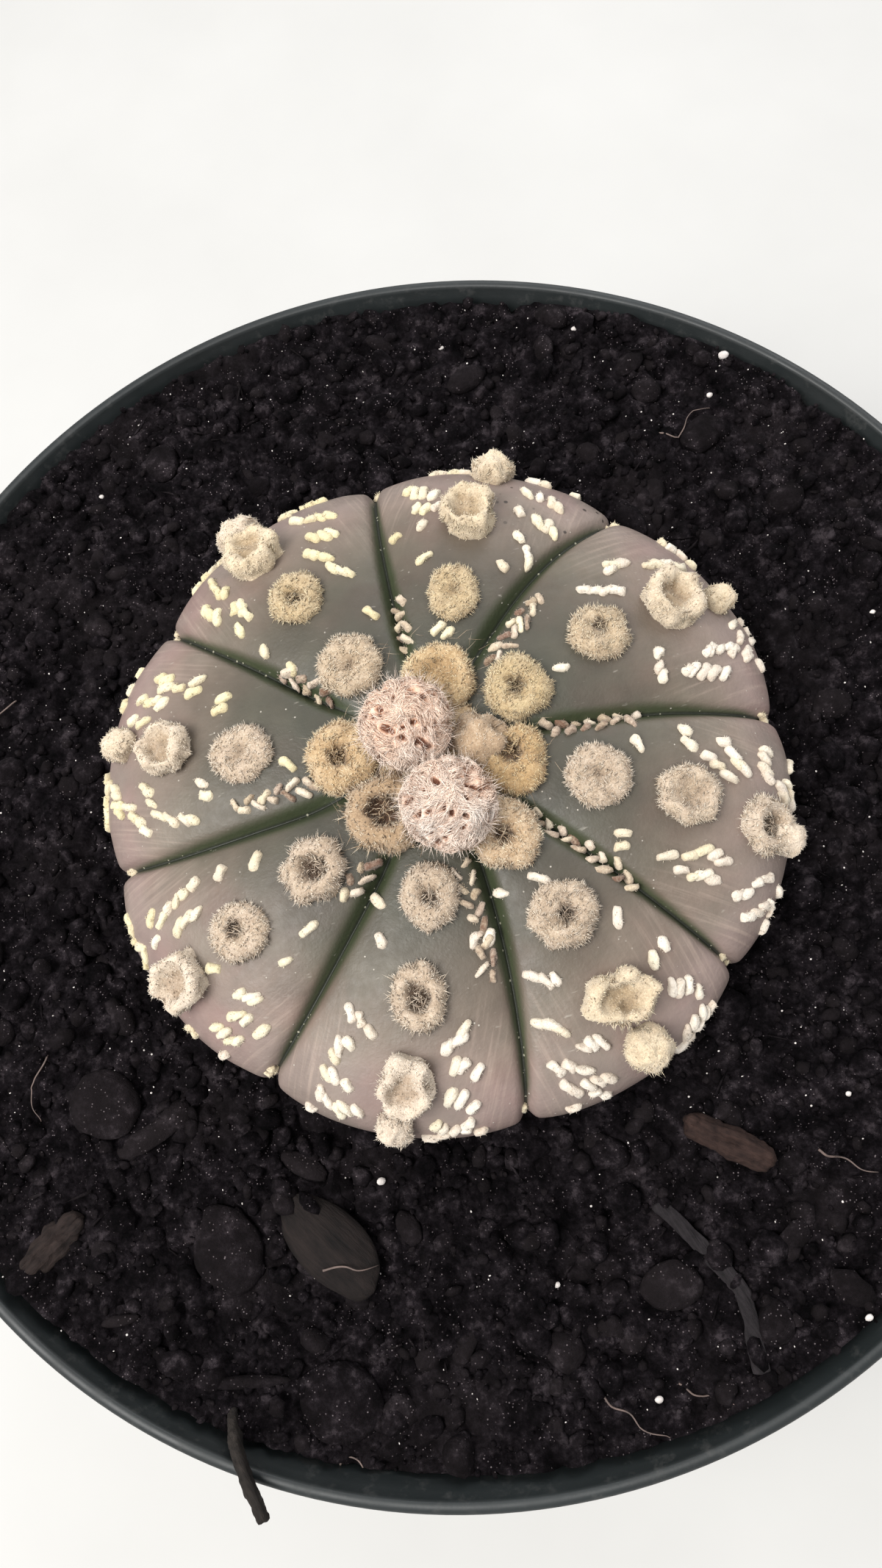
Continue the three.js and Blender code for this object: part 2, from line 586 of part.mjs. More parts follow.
// A bark chip: a flat flake with ragged ends and a raised grain along it, bedded on the soil
function makeBarkChip(chip, index, soilLifted) {
  const random = seededRandom(31 + index);
  const steps = 7;
  const rings = [];
  for (let i = 0; i <= steps; i++) {
    const share = i / steps;
    const taper = 0.55 + 0.45 * Math.sin(Math.PI * (0.12 + 0.76 * share));
    const halfWidth = 0.5 * chip.width * taper * (0.85 + 0.3 * random());
    const along = chip.length * (share - 0.5);
    const thick = chip.thickness * (0.7 + 0.5 * random());
    rings.push([
      [along, halfWidth, -2], [along, -halfWidth, -2], [along, -halfWidth, thick * 0.4],
      [along + 0.2, -halfWidth * 0.5, thick * 0.85], [along, 0, thick * 0.7],
      [along - 0.2, halfWidth * 0.5, thick], [along, halfWidth, thick * 0.5],
    ].map(([x, y, z]) => new THREE.Vector3(x, y, z)));
  }
  rings.forEach((ring) => ring.reverse());
  const start = new THREE.Vector3(-0.5 * chip.length - 0.6, 0, 0);
  const end = new THREE.Vector3(0.5 * chip.length + 0.6, 0, 0);
  const geometry = loft(start, rings, end).rotateZ(radians(chip.heading));
  geometry.translate(chip.x, chip.y, soilHeight(chip.x, chip.y) + gap);
  return toSolid(geometry).subtract(soilLifted);
}

// A rod or strip along a route, as an extruded section
function along(points, section, steps) {
  const route = new THREE.CatmullRomCurve3(points);
  return toSolid(new THREE.ExtrudeGeometry(section, { steps, extrudePath: route }));
}

function makeTwig(soilLifted) {
  const section = new THREE.Shape();
  for (let i = 0; i < 6; i++) {
    const turn = (i * Math.PI) / 3;
    const reach = twigRadius * (i % 2 === 0 ? 1.1 : 0.85);
    section[i === 0 ? "moveTo" : "lineTo"](reach * Math.cos(turn), reach * Math.sin(turn));
  }
  const lift = gap + 0.5 * twigRadius;
  const points = twigPath.map(([x, y]) => new THREE.Vector3(x, y, soilHeight(x, y) + lift));
  return along(points, section, 8).subtract(soilLifted);
}

function makeSliver(soilLifted) {
  const points = sliverPath.map(([radius, height, azimuth]) => new THREE.Vector3(
    radius * Math.cos(radians(azimuth)), radius * Math.sin(radians(azimuth)), height));
  const section = new THREE.Shape();
  section.moveTo(-0.5 * sliverThickness, -0.5 * sliverWidth);
  section.lineTo(0.5 * sliverThickness, -0.4 * sliverWidth);
  section.lineTo(0.4 * sliverThickness, 0.4 * sliverWidth);
  section.lineTo(-0.5 * sliverThickness, 0.5 * sliverWidth);
  section.closePath();
  return along(points, section, 10).subtract(soilLifted);
}

const group = new THREE.Group();

function addNode(name, solid, color, roughness) {
  const material = new THREE.MeshStandardMaterial({ color, roughness, metalness: 0 });
  const mesh = new THREE.Mesh(toGeometry(solid), material);
  mesh.name = name;
  group.add(mesh);
}

const soil = makeSoil();
const soilLifted = soil.translate(0, 0, gap);

addNode("pot", makePot(), 0x1b201e, 0.45);
addNode("soil", soil, 0x241d1b, 0.95);
addNode("cactus_body", makeCactusBody(), 0x6b665d, 0.6);
addNode("crown_wool", makeCrownWool(), 0xcbb893, 0.95);
buds.forEach((bud, index) => addNode(`flower_bud_${index + 1}`, makeBud(bud, 0), 0xd9c3ae, 0.9));
barkChips.forEach((chip, index) => {
  addNode(`bark_chip_${index + 1}`, makeBarkChip(chip, index, soilLifted), chip.colour, 0.9);
});
addNode("dark_twig", makeTwig(soilLifted), 0x1f1713, 0.9);
addNode("bark_sliver", makeSliver(soilLifted), 0x3b3530, 0.85);

export default group;
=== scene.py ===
"""A potted super kabuto star cactus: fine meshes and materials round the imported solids."""
import math

import bmesh
import bpy
import numpy as np
from mathutils import Matrix, Vector
from mathutils.bvhtree import BVHTree


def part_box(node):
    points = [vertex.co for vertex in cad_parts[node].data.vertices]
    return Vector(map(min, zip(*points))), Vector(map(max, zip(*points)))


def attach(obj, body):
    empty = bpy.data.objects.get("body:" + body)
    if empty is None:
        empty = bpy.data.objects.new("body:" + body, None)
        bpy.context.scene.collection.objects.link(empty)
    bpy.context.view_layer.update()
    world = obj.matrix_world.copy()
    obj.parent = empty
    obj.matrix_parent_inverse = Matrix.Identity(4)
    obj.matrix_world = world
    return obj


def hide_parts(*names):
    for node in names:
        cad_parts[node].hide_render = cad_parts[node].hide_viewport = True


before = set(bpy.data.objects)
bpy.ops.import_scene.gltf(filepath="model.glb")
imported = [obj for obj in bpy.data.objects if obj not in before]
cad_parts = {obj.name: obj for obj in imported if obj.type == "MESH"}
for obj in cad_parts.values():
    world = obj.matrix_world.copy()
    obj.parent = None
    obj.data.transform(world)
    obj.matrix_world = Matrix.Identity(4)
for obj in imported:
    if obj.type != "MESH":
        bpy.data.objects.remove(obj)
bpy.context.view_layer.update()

# The model is worked out in millimetres, in the frame's axes, and written in metres
MM = 0.001
FULL_TURN = 2 * math.pi

# The photograph's frame, and the camera that fits the pot's rim in it
PHOTO_HEIGHT_PX = 2134
FOCAL_PX = 1650
CAMERA_AT = (0.8, -38.5, 239.8)
CAMERA_DOWN = math.radians(73.4)
CAMERA_ROLL = math.radians(-17.4)

# Sizes that the frame gives
_, POT_HIGH = (np.array(corner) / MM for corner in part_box("pot"))
POT_HEIGHT = POT_HIGH[2]
RIM_RADIUS = POT_HIGH[0]
SOIL_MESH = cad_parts["soil"].data
SOIL_POINTS = [corner.co for corner in SOIL_MESH.vertices]
SOIL_TREE = BVHTree.FromPolygons(SOIL_POINTS, [face.vertices for face in SOIL_MESH.polygons])

# The plant, as in the solids
PLANT = np.array([1.0, 2.5, POT_HEIGHT + 4.5])
EQUATOR_RADIUS = 39.6
DOME_HEIGHT = 12.0
DOME_SQUARENESS = 2.3
CROWN_DIP = 2.0
CROWN_DIP_RADIUS = 10.0
UNDERSIDE_DEPTH = 15.0
GROOVES = np.radians([86, 40, -7, -51, -93, -136, -181, -227, -274])
RIBS = "ABCDEFGH"
RIB_BULGE = 1.2
CREASE_DEPTH = 1.1
CREASE_HALF_WIDTH = 0.7
RIB_FADE = (7.0, 16.0)

# How far each groove turns from the rim to the crown, and how far the rim leans towards the viewer
GROOVE_BENDS = np.radians([3.5, 14, 3, 0, 13, 11, 15, 5, 3.5])
RIM_LEAN = np.array([0, -0.9, 0])

# Each rib's areoles from the crown outward: shape, out, across, half width, stretch, yellowness
AREOLES = {
    "A": [("disc", 18.5, 1, 3.2, 1.15, 0.8), ("collar", 29.3, 1.5, 3.4, 1.12, 0.5),
          ("knob", 37.8, 0.5, 2.7, 1, 0.4)],
    "B": [("pitted", 11.5, 0.5, 4, 0.95, 0.9), ("pitted", 22.5, 1, 3.7, 0.95, 0.45),
          ("collar", 31.7, 0.5, 3.5, 1, 0.35), ("knob", 37.3, -1, 2.1, 1, 0.5)],
    "C": [("disc", 18, 0.5, 3.7, 1.05, 0.1), ("dish", 27.5, 1, 3.4, 1.12, 0.15),
          ("ring", 36, 0.5, 3.3, 1, 0.1), ("knob", 38, 0, 2.2, 1, 0.1)],
    "D": [("pitted", 22.5, 1, 3.9, 1, 0.1), ("collar", 31.7, 1, 3.5, 1, 0.5),
          ("knob", 37, 0.5, 2.7, 1.1, 0.5)],
    "E": [("pitted", 16, 2, 3.3, 1.15, 0.1), ("ring", 26, 2, 3.2, 1.2, 0.1),
          ("collar", 34.2, 1.5, 3.1, 1.15, 0.05), ("knob", 38.2, 0.5, 2.3, 1, 0)],
    "F": [("ring", 18, 2.5, 3.6, 1.05, 0.1), ("pitted", 28, 2, 3.5, 1, 0.1),
          ("collar", 35.8, 1.1, 3.3, 1.1, 0.1)],
    "G": [("disc", 21, 2.5, 3.5, 1.1, 0.1), ("collar", 30, 2, 3.2, 1.05, 0.2),
          ("knob", 36.6, 0.8, 2.4, 1, 0.3)],
    "H": [("disc", 13.5, 1.5, 3.9, 1, 0.3), ("pitted", 24.5, 1.5, 3.5, 1, 0.8),
          ("collar", 33.6, 2, 3.4, 1, 0.5), ("knob", 38.7, 1.4, 3.0, 1, 0.15)],
}

# How much paler the wool is at the rim than near the crown
RIM_PALENESS = 0.08

# Each rib's rows of flecks: out and across where a row starts and where it ends, or for a single fleck
FLECK_ROWS = {
    "A": [(35.5, 9.5, 33.5, 6.5), (31.5, 8, 31.5, 5.5), (28.5, 7), (27.5, 9.5),
          (23.5, 5.5), (23.5, -4), (28, -5.5, 25.5, -6.5), (32, -4, 31, -8.5),
          (35, -4.5, 35, -8.5), (13.6, 1.8, 13.6, 0), (17.5, -7)],
    "B": [(29.5, 8, 31.5, 8), (33.5, 6.5, 36.5, 4.5), (25.5, 6.5, 28, 4.5), (17, 0),
          (27.5, -3.5, 26.5, -6.5), (29.5, -7, 33.5, -9), (32.5, -5.5, 36, -7.5),
          (37.5, -4.5, 37.5, -8.5)],
    "C": [(22, 5), (27.5, 8, 27.5, 6.5), (29.5, 6, 31.5, 4), (31.5, 8, 33.5, 5.5), (36, 9, 36, 6),
          (38, 5.5, 38, 3), (22, -4.5, 22.5, -6), (27, -6), (29.5, -4.5, 32.5, -4.5),
          (29.5, -7, 32.5, -7), (35, -7.5, 37.5, -5), (37, -9.5, 38.5, -8)],
    "D": [(31.5, 6.5, 31.5, 8), (26.5, 5.5), (18, 1), (26, -4.5, 27.5, -3.5),
          (17.5, -3.5), (30.5, -7.5, 31.5, -5.5), (34.5, -5, 34.5, -3), (34.5, 6, 36.5, 9),
          (38.5, 5, 38.5, 7.5), (35, -8.5, 36, -6), (37.5, -9, 38, -4.5)],
    "E": [(21, 7, 21, 8.5), (30.5, 5.5, 29.5, 7), (32.5, 6.5, 33.5, 8.5), (35.5, 6, 36.5, 8.5),
          (38, 4.5, 38.5, 8), (28.5, -5, 29.5, -3), (31.5, -5, 33.5, -7), (35, -7.5, 35.5, -5),
          (37.5, -8, 38, -3.5), (21, -3), (17.5, -3.5)],
    "F": [(23, 7), (27.5, 8), (32.5, 6.5, 32, 8.5), (34.5, 8, 34.5, 10.5),
          (36.8, 7, 36.8, 10), (22.5, -3), (26, -4.5), (29.5, -6, 35.8, -6.5),
          (31, -3, 33.4, -3.8), (36.5, -4.6, 38, -4.4), (33, 2.5)],
    "G": [(26, 6, 26, 7.5), (31.5, 9.5, 27.5, 9.5), (33, 6, 32, 7.5), (35, 8, 33.5, 11),
          (25, -2.5, 24.5, -4), (29, -5, 29, -6.5), (34.5, -7.5, 31.5, -6), (35.5, -5, 32.5, -3.5),
          (36.5, -2.5, 34.5, -2), (37.5, 5.5, 37, 8.5), (15.8, 3.4)],
    "H": [(18, -4), (25.5, -4, 24, -5), (29.5, -3, 27.5, -4.5), (31.5, -5, 31, -7),
          (35.5, -5, 34, -8.5), (30.5, 7.5, 29, 6.5), (28, 7, 27.5, 8.5), (36, 8, 33, 7.5),
          (34.5, 10.5, 32, 10), (23, 8), (18.5, 7)],
}
FLECK_SPACING = 1.15
FLECK_JITTER = 0.22
FLECK_SLANT = 0.62
FLECK_LENGTH = (1.8, 2.7)
FLECK_WIDTH = (1.0, 1.35)
FLECK_HEIGHT = 0.5
FLECK_TONE = (0.60, 0.85)

# The braid of small flecks along each groove: where it starts, and where it ends
BRAIDS = [(12.5, 18.5), (12, 22), (12.5, 23), (13, 26), (13, 25), (14, 18.5), (13, 22.5), (13, 20)]
BRAID_STEP = 0.85

# The crown's lobes of wool: shape, azimuth, out, half width, yellowness, and how much paler than others
CROWN_LOBES = [
    ("disc", 0, 0, 6.9, 0.5, 0), ("disc", -90, 7, 4.8, 0.3, 0), ("dish", 68, 8.1, 4.3, 0.7, 0),
    ("pitted", -27, 8.6, 4.3, 0.8, -0.05), ("pitted", -68, 12.4, 4.1, 0.25, 0),
    ("ring", -141, 8.7, 4.6, 0.2, -0.12), ("pitted", 167, 9.6, 4.4, 0.6, 0),
    ("knob", -12, 5.2, 3.3, 0, -0.22),
]

# The two buds: azimuth, out and radius
BUDS = [(128, 3, 4.8), (-90, 7.4, 4.8)]
BUD_LIFT = 4.8
BUD_FLATTENING = np.array([1, 1, 0.92])
# The turn from one hollow of a bud to the next
GOLDEN_ANGLE = 2.39996

# Smooth clods and flat chips on the soil: place, length, width, height, heading in degrees, how pale
CLODS = [
    (-37.3, -40.6, 9.4, 7.7, 1.7, -75, 0.5), (-29.3, -59.2, 9, 8, 1.6, -37, 0.2),
    (-47.3, -21.3, 8.5, 7.7, 1.7, -56, 0.7), (8.4, -57.6, 6.7, 5, 1.4, -6, 0.8),
    (-4.6, -60.8, 4.6, 4, 1.1, -60, 0.6), (-45.4, -50.4, 4.7, 3.2, 1, -26, 0.1),
    (2.3, -56.6, 3.2, 2.2, 0.8, 21, 0.2), (6.1, -42.8, 5.3, 3.6, 1, -30, 0.2),
    (36.5, -42, 4, 3, 1, 10, 0), (-43.1, -26.2, 8.7, 2.8, 0.7, 15, 0.9),
    (-26.7, -34.4, 5.9, 2.6, 0.8, -43, 0.9), (-17.3, -44, 4.2, 2.6, 0.8, -73, 0.7),
    (-50.6, -44.3, 4.2, 1.3, 0.6, -5, 1), (-39.2, -54.1, 10, 1.3, 0.7, -13, 0.5),
    (46.5, 38, 6, 4.6, 1.2, 30, 0.4), (-22, 58, 5.4, 4.4, 1.2, 70, 0.3),
    (20, 56.5, 5.2, 3.6, 1.1, 12, 0.6), (-59, 18, 6, 4.4, 1.2, 95, 0.2), (58, -18, 5, 4, 1.1, 50, 0.5),
]

# The heading of the big oval clod of rotten bark, in degrees
OVAL_CLOD_HEADING = -59

# Root threads on the soil: points on each one's way, its thickness, and how far it lies above the soil
ROOT_THREADS = [
    ([(-3.1, -64.7), (0.7, -69.6), (3.4, -71.7)], 0.26, 0.6),
    ([(5.6, -66.8), (7.9, -68.6), (12.6, -70.7)], 0.22, 0.6), ([(27.5, -48.7), (33, -52.9)], 0.28, 0.6),
    ([(-31.7, -65.3), (-30.3, -64.3), (-29.2, -65.2), (-27.1, -67.5)], 0.24, 0.7),
    ([(-27, -45.4), (-21.5, -46.8)], 0.28, 1.2),
    ([(40, 40), (43.5, 38.4), (46.4, 41.5), (49, 41)], 0.24, 0.6),
    ([(-47.5, 30.5), (-51, 29.4), (-54.5, 31.8)], 0.24, 0.6),
    ([(-52.5, -14), (-55.4, -17), (-55, -21)], 0.22, 0.6),
]

# White grains of sand and perlite: place on the soil and half width
PALE_GRAINS = [
    (-3.4, -54.1, 0.4), (3.3, -67.7, 0.5), (26.7, -66, 0.42), (33.3, -44.4, 0.35), (-26.6, -61.4, 0.4),
    (-36.6, -62.6, 0.38), (-18.6, -38.5, 0.55), (-47, -24.9, 0.32), (52.8, 47.5, 0.75), (49.5, 43.2, 0.45),
    (36, 58.5, 0.45), (-58, 6, 0.35), (57.5, 8, 0.4), (18.5, 62.5, 0.4), (-31, 56, 0.4),
]

random = np.random.default_rng(7)


# Numbers and shapes

def smoothstep(value, low, high):
    """Rises smoothly from 0 to 1 while the value goes from low to high."""
    share = np.clip((np.asarray(value, float) - low) / (high - low), 0, 1)
    return share * share * (3 - 2 * share)


def unit(vectors):
    return vectors / np.maximum(np.linalg.norm(vectors, axis=-1, keepdims=True), 1e-9)


def lattice(i, j, k, seed):
    """A number from 0 to 1 for each corner of a grid, always the same one for the same seed."""
    mixed = np.sin(i * 127.1 + j * 311.7 + k * 74.7 + seed * 19.19) * 43758.5453
    return mixed - np.floor(mixed)


def noise(points, size, seed=0):
    """Smooth value noise from -1 to 1 at points in space, with a grid of the given size."""
    cell = np.floor(points / size)
    part = points / size - cell
    part = part * part * (3 - 2 * part)
    total = 0
    for di in (0, 1):
        for dj in (0, 1):
            for dk in (0, 1):
                weight = np.abs(1 - di - part[:, 0]) * np.abs(1 - dj - part[:, 1])
                weight = weight * np.abs(1 - dk - part[:, 2])
                total = total + weight * lattice(cell[:, 0] + di, cell[:, 1] + dj, cell[:, 2] + dk, seed)
    return 2 * total - 1


def noise_vectors(points, size, seed):
    return np.stack([noise(points, size, seed + k) for k in range(3)], -1)


def crumbs(x, y, size, seed):
    """Rounded lumps over the plane, from 0 in the cracks between them to 1 on their tops."""
    column, row = np.floor(x / size), np.floor(y / size)
    nearest = np.full(x.shape, 9.0)
    for step_x in (-1, 0, 1):
        for step_y in (-1, 0, 1):
            i, j = column + step_x, row + step_y
            off_x = x - (i + lattice(i, j, 1, seed)) * size
            off_y = y - (j + lattice(i, j, 2, seed)) * size
            reach = 0.5 + 0.5 * lattice(i, j, 3, seed)
            nearest = np.minimum(nearest, (off_x ** 2 + off_y ** 2) / (size * reach) ** 2)
    return np.clip(1 - nearest, 0, 1) ** 0.5


def ball(level):
    """Points and faces of a ball split finely, as a start for crumbs and grains."""
    work = bmesh.new()
    bmesh.ops.create_icosphere(work, subdivisions=level, radius=1)
    points = np.array([corner.co for corner in work.verts])
    faces = np.array([[corner.index for corner in face.verts] for face in work.faces])
    work.free()
    return points, faces


def circle(count):
    """Even angles once round."""
    return np.linspace(0, FULL_TURN, count, endpoint=False)


def polar(radius, turn, height):
    """Points, or directions, at a radius, an angle and a height."""
    x, y = radius * np.cos(turn), radius * np.sin(turn)
    return np.stack(np.broadcast_arrays(x, y, height), -1)


def spin(heading):
    """The axes of something turned about the vertical."""
    cosine, sine = math.cos(heading), math.sin(heading)
    return np.array([[cosine, sine, 0], [-sine, cosine, 0], [0, 0, 1]])


def on_heading(x, y, degrees):
    """How far places lie along a heading, and beside it."""
    cosine, sine = math.cos(math.radians(degrees)), math.sin(math.radians(degrees))
    return x * cosine + y * sine, y * cosine - x * sine


def rings(sides, first, second):
    """A ring of points for each pair of directions."""
    turns = np.arange(sides) * FULL_TURN / sides
    return first[:, None] * np.cos(turns)[None, :, None] + second[:, None] * np.sin(turns)[None, :, None]


def steps_along(corners):
    """How far each corner of a line is from its start, along the line."""
    return np.append(0, np.cumsum(np.linalg.norm(np.diff(corners, axis=0), axis=1)))


def grid_faces(rows, columns):
    """Quads between closed rows of points."""
    row = np.arange(rows - 1)[:, None] * columns
    column = np.arange(columns)[None, :]
    after = (column + 1) % columns
    corners = (row + column, row + after, row + columns + after, row + columns + column)
    return np.stack(corners, -1).reshape(-1, 4)


def fan(ring, flip=False):
    """Triangles that close a ring of points."""
    ends = (ring[1:-1], ring[2:]) if flip else (ring[2:], ring[1:-1])
    return np.stack([np.full(len(ring) - 2, ring[0]), *ends], -1)


def cone(ring, tip, flip=False):
    """Triangles from a ring of points to one more point."""
    after = np.roll(ring, -1)
    ends = (after, ring) if flip else (ring, after)
    return np.stack([np.full(len(ring), tip), *ends], -1)


class Shape:
    """Points and faces gathered from many small solids, with a few numbers for each point."""

    def __init__(self):
        self.points, self.faces, self.marks, self.count = [], [], {}, 0

    def add(self, points, faces, **marks):
        """Adds a solid, whose faces are one array or a list of them, with its marks for each point."""
        points = np.asarray(points, float).reshape(-1, 3)
        self.points.append(points)
        for group in faces if isinstance(faces, list) else [faces]:
            self.faces.append(np.asarray(group, int) + self.count)
        for name in set(self.marks) | set(marks):
            filled = np.broadcast_to(np.asarray(marks.get(name, 0.0), float), (len(points),))
            self.marks.setdefault(name, [np.zeros(self.count)] if self.count else []).append(filled)
        self.count += len(points)
        return self

    def piece(self, name, material, slot, replaces=(), smooth=True):
        """Makes one piece of the part from all that was gathered."""
        mesh = bpy.data.meshes.new(name)
        points = np.concatenate(self.points)
        groups = sorted(self.faces, key=lambda group: -group.shape[1])
        corners = np.concatenate([group.ravel() for group in groups])
        sizes = np.concatenate([np.full(len(group), group.shape[1]) for group in groups])
        mesh.vertices.add(len(points))
        mesh.vertices.foreach_set("co", (points * MM).astype(np.float32).ravel())
        mesh.loops.add(len(corners))
        mesh.loops.foreach_set("vertex_index", corners.astype(np.int32))
        mesh.polygons.add(len(sizes))
        mesh.polygons.foreach_set("loop_start", np.append(0, np.cumsum(sizes)[:-1]).astype(np.int32))
        for mark, values in self.marks.items():
            attribute = mesh.attributes.new(mark, "FLOAT", "POINT")
            attribute.data.foreach_set("value", np.concatenate(values).astype(np.float32))
        mesh.update(calc_edges=True)
        mesh.validate()
        if smooth:
            mesh.shade_smooth()
        return dress(mesh, material, replaces)


def add_object(name, data):
    made = bpy.data.objects.new(name, data)
    bpy.context.scene.collection.objects.link(made)
    return made


def dress(mesh, material, replaces=()):
    """Makes a mesh a piece of the part, with its material."""
    piece = add_object(mesh.name, mesh)
    mesh.materials.clear()
    mesh.materials.append(material)
    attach(piece, "root")
    if replaces:
        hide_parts(*replaces)
    return piece


# Materials

class Shader:
    """A material's node tree, with short calls for the nodes that it uses."""

    def __init__(self, name, roughness, **constants):
        self.material = bpy.data.materials.new(name)
        self.material.use_nodes = True
        self.tree = self.material.node_tree
        self.surface = self.tree.nodes["Principled BSDF"]
        self.surface.inputs["Roughness"].default_value = roughness
        for socket, value in constants.items():
            self.surface.inputs[socket.replace("_", " ")].default_value = value
        self.place = self.node("ShaderNodeTexCoord").outputs["Object"]

    def join(self, value, socket):
        """Links a node's output to a socket, or else sets the socket."""
        if isinstance(value, bpy.types.NodeSocket):
            self.tree.links.new(value, socket)
        elif isinstance(value, tuple) and socket.type == "RGBA":
            socket.default_value = (*value, 1)
        else:
            socket.default_value = value

    def node(self, kind, inputs=None, **settings):
        made = self.tree.nodes.new(kind)
        for key, value in settings.items():
            setattr(made, key, value)
        for key, value in (inputs or {}).items():
            self.join(value, made.inputs[key])
        return made

    def mark(self, name):
        return self.node("ShaderNodeAttribute", attribute_name=name).outputs["Fac"]

    def noise(self, size, detail=3.0, where=None, roughness=0.55):
        """Noise whose patches are about size millimetres across."""
        inputs = {"Vector": where or self.place, "Scale": 1 / (size * MM), "Detail": detail,
                  "Roughness": roughness}
        return self.node("ShaderNodeTexNoise", inputs).outputs["Fac"]

    def cells(self, size):
        """How far the nearest of many points is, which lie about size millimetres apart."""
        inputs = {"Vector": self.place, "Scale": 1 / (size * MM)}
        return self.node("ShaderNodeTexVoronoi", inputs).outputs["Distance"]

    def ramp(self, value, *stops):
        """A colour ramp. Each stop is its place and then a grey or a colour."""
        made = self.node("ShaderNodeValToRGB", {"Fac": value})
        elements = made.color_ramp.elements
        while len(elements) < len(stops):
            elements.new(1.0)
        for element, (at, shade) in zip(elements, stops):
            element.position = at
            element.color = (*shade, 1) if isinstance(shade, tuple) else (shade, shade, shade, 1)
        return made.outputs["Color"]

    def mix(self, share, first, second, blend="MIX"):
        made = self.node("ShaderNodeMix", data_type="RGBA", blend_type=blend)
        for socket, value in ((0, share), (6, first), (7, second)):
            self.join(value, made.inputs[socket])
        return made.outputs[2]

    def tinted(self, share, ground, tint):
        return self.mix(share, ground, self.mix(1.0, ground, tint, "MULTIPLY"))

    def math(self, operation, first, second):
        made = self.node("ShaderNodeMath", operation=operation)
        self.join(first, made.inputs[0])
        self.join(second, made.inputs[1])
        return made.outputs["Value"]

    def plus(self, first, second):
        return self.math("ADD", first, second)

    def times(self, first, second):
        return self.math("MULTIPLY", first, second)

    def around(self, value, amount):
        """Turns a value from 0 to 1 into one that swings round zero by the amount in all."""
        return self.times(self.math("SUBTRACT", value, 0.5), amount)

    def finish(self, colour, height, depth, strength=0.8, roughness=None):
        """Sets the colour, raises the surface by height times depth millimetres, and gives the material."""
        bump = self.node("ShaderNodeBump", {"Height": height, "Distance": depth * MM, "Strength": strength})
        self.join(colour, self.surface.inputs["Base Color"])
        self.join(bump.outputs["Normal"], self.surface.inputs["Normal"])
        if roughness is not None:
            self.join(roughness, self.surface.inputs["Roughness"])
        return self.material


def skin_material():
    """Grey-green at the crown, mauve-brown at the rim, dark green along the grooves, partly painted shade.
    """
    look = Shader("cactus_skin", 0.5, Specular_IOR_Level=0.35)
    outward = look.plus(look.mark("out"), look.around(look.noise(5), 0.12))
    ground = look.ramp(
        outward, (0.0, (0.034, 0.036, 0.024)), (0.34, (0.054, 0.050, 0.037)), (0.5, (0.078, 0.065, 0.049)),
        (0.62, (0.118, 0.093, 0.072)), (0.74, (0.184, 0.141, 0.116)), (0.82, (0.220, 0.166, 0.146)),
        (1.0, (0.236, 0.177, 0.162)))
    ground = look.mix(0.5, ground, look.ramp(look.noise(4, 5), (0.3, 0.66), (0.7, 1.15)), "MULTIPLY")
    # Greener and redder patches
    ground = look.tinted(look.ramp(look.noise(11, 2), (0.42, 0.0), (0.62, 0.4)), ground, (0.84, 1.0, 0.92))
    ground = look.tinted(look.ramp(look.noise(9, 3), (0.5, 0.0), (0.7, 0.5)), ground, (1.12, 0.93, 0.95))
    # Pale streaks run outward next to the grooves
    combined = look.node("ShaderNodeCombineXYZ", {"X": look.mark("along"), "Y": look.mark("beside")})
    streaks = look.ramp(look.noise(1, 4, combined.outputs[0]), (0.5, 0.0), (0.75, 0.5))
    ground = look.mix(look.times(streaks, look.mark("streak")), ground, (0.36, 0.28, 0.23))
    # Dark green along the grooves, partly the skin's own green and partly painted shade in them, their
    # bottoms darker still with painted shade, and a few pale dots
    edge = look.plus(look.mark("band"), look.around(look.noise(2, 4), 0.35))
    ground = look.mix(look.ramp(edge, (0.25, 0.0), (0.8, 0.85)), ground, (0.034, 0.045, 0.020))
    # Painted shade at the bottoms of the grooves
    painted_crease_shade = look.ramp(look.mark("crease"), (0.35, 0.0), (0.85, 0.9))
    ground = look.mix(painted_crease_shade, ground, (0.012, 0.014, 0.009))
    dots = look.times(look.ramp(look.cells(0.8), (0.13, 1.0), (0.2, 0.0)), look.mark("crease"))
    ground = look.mix(look.ramp(dots, (0.35, 0.0), (0.6, 0.6)), ground, (0.42, 0.40, 0.30))
    # Pale dust and scratches, and dark specks
    dust = look.times(look.ramp(look.cells(1.4), (0.05, 1.0), (0.09, 0.0)),
                      look.ramp(look.noise(7), (0.47, 0.0), (0.58, 0.75)))
    ground = look.mix(dust, ground, (0.50, 0.46, 0.40))
    stretched = look.node("ShaderNodeMapping", {"Vector": look.place, "Scale": (0.25, 1, 1)}).outputs[0]
    scratches = look.ramp(look.noise(0.45, 2, stretched), (0.70, 0.0), (0.80, 0.35))
    ground = look.mix(scratches, ground, (0.40, 0.37, 0.32))
    specks = look.times(look.ramp(look.cells(1.7), (0.12, 1.0), (0.18, 0.0)), look.mark("specks"))
    ground = look.mix(specks, ground, (0.03, 0.022, 0.018))
    relief = look.plus(look.noise(0.45, 4), look.times(dust, 1.5))
    shine = look.ramp(look.noise(1.2, 5), (0.3, 0.42), (0.75, 0.6))
    return look.finish(ground, relief, 0.10, 0.6, shine)


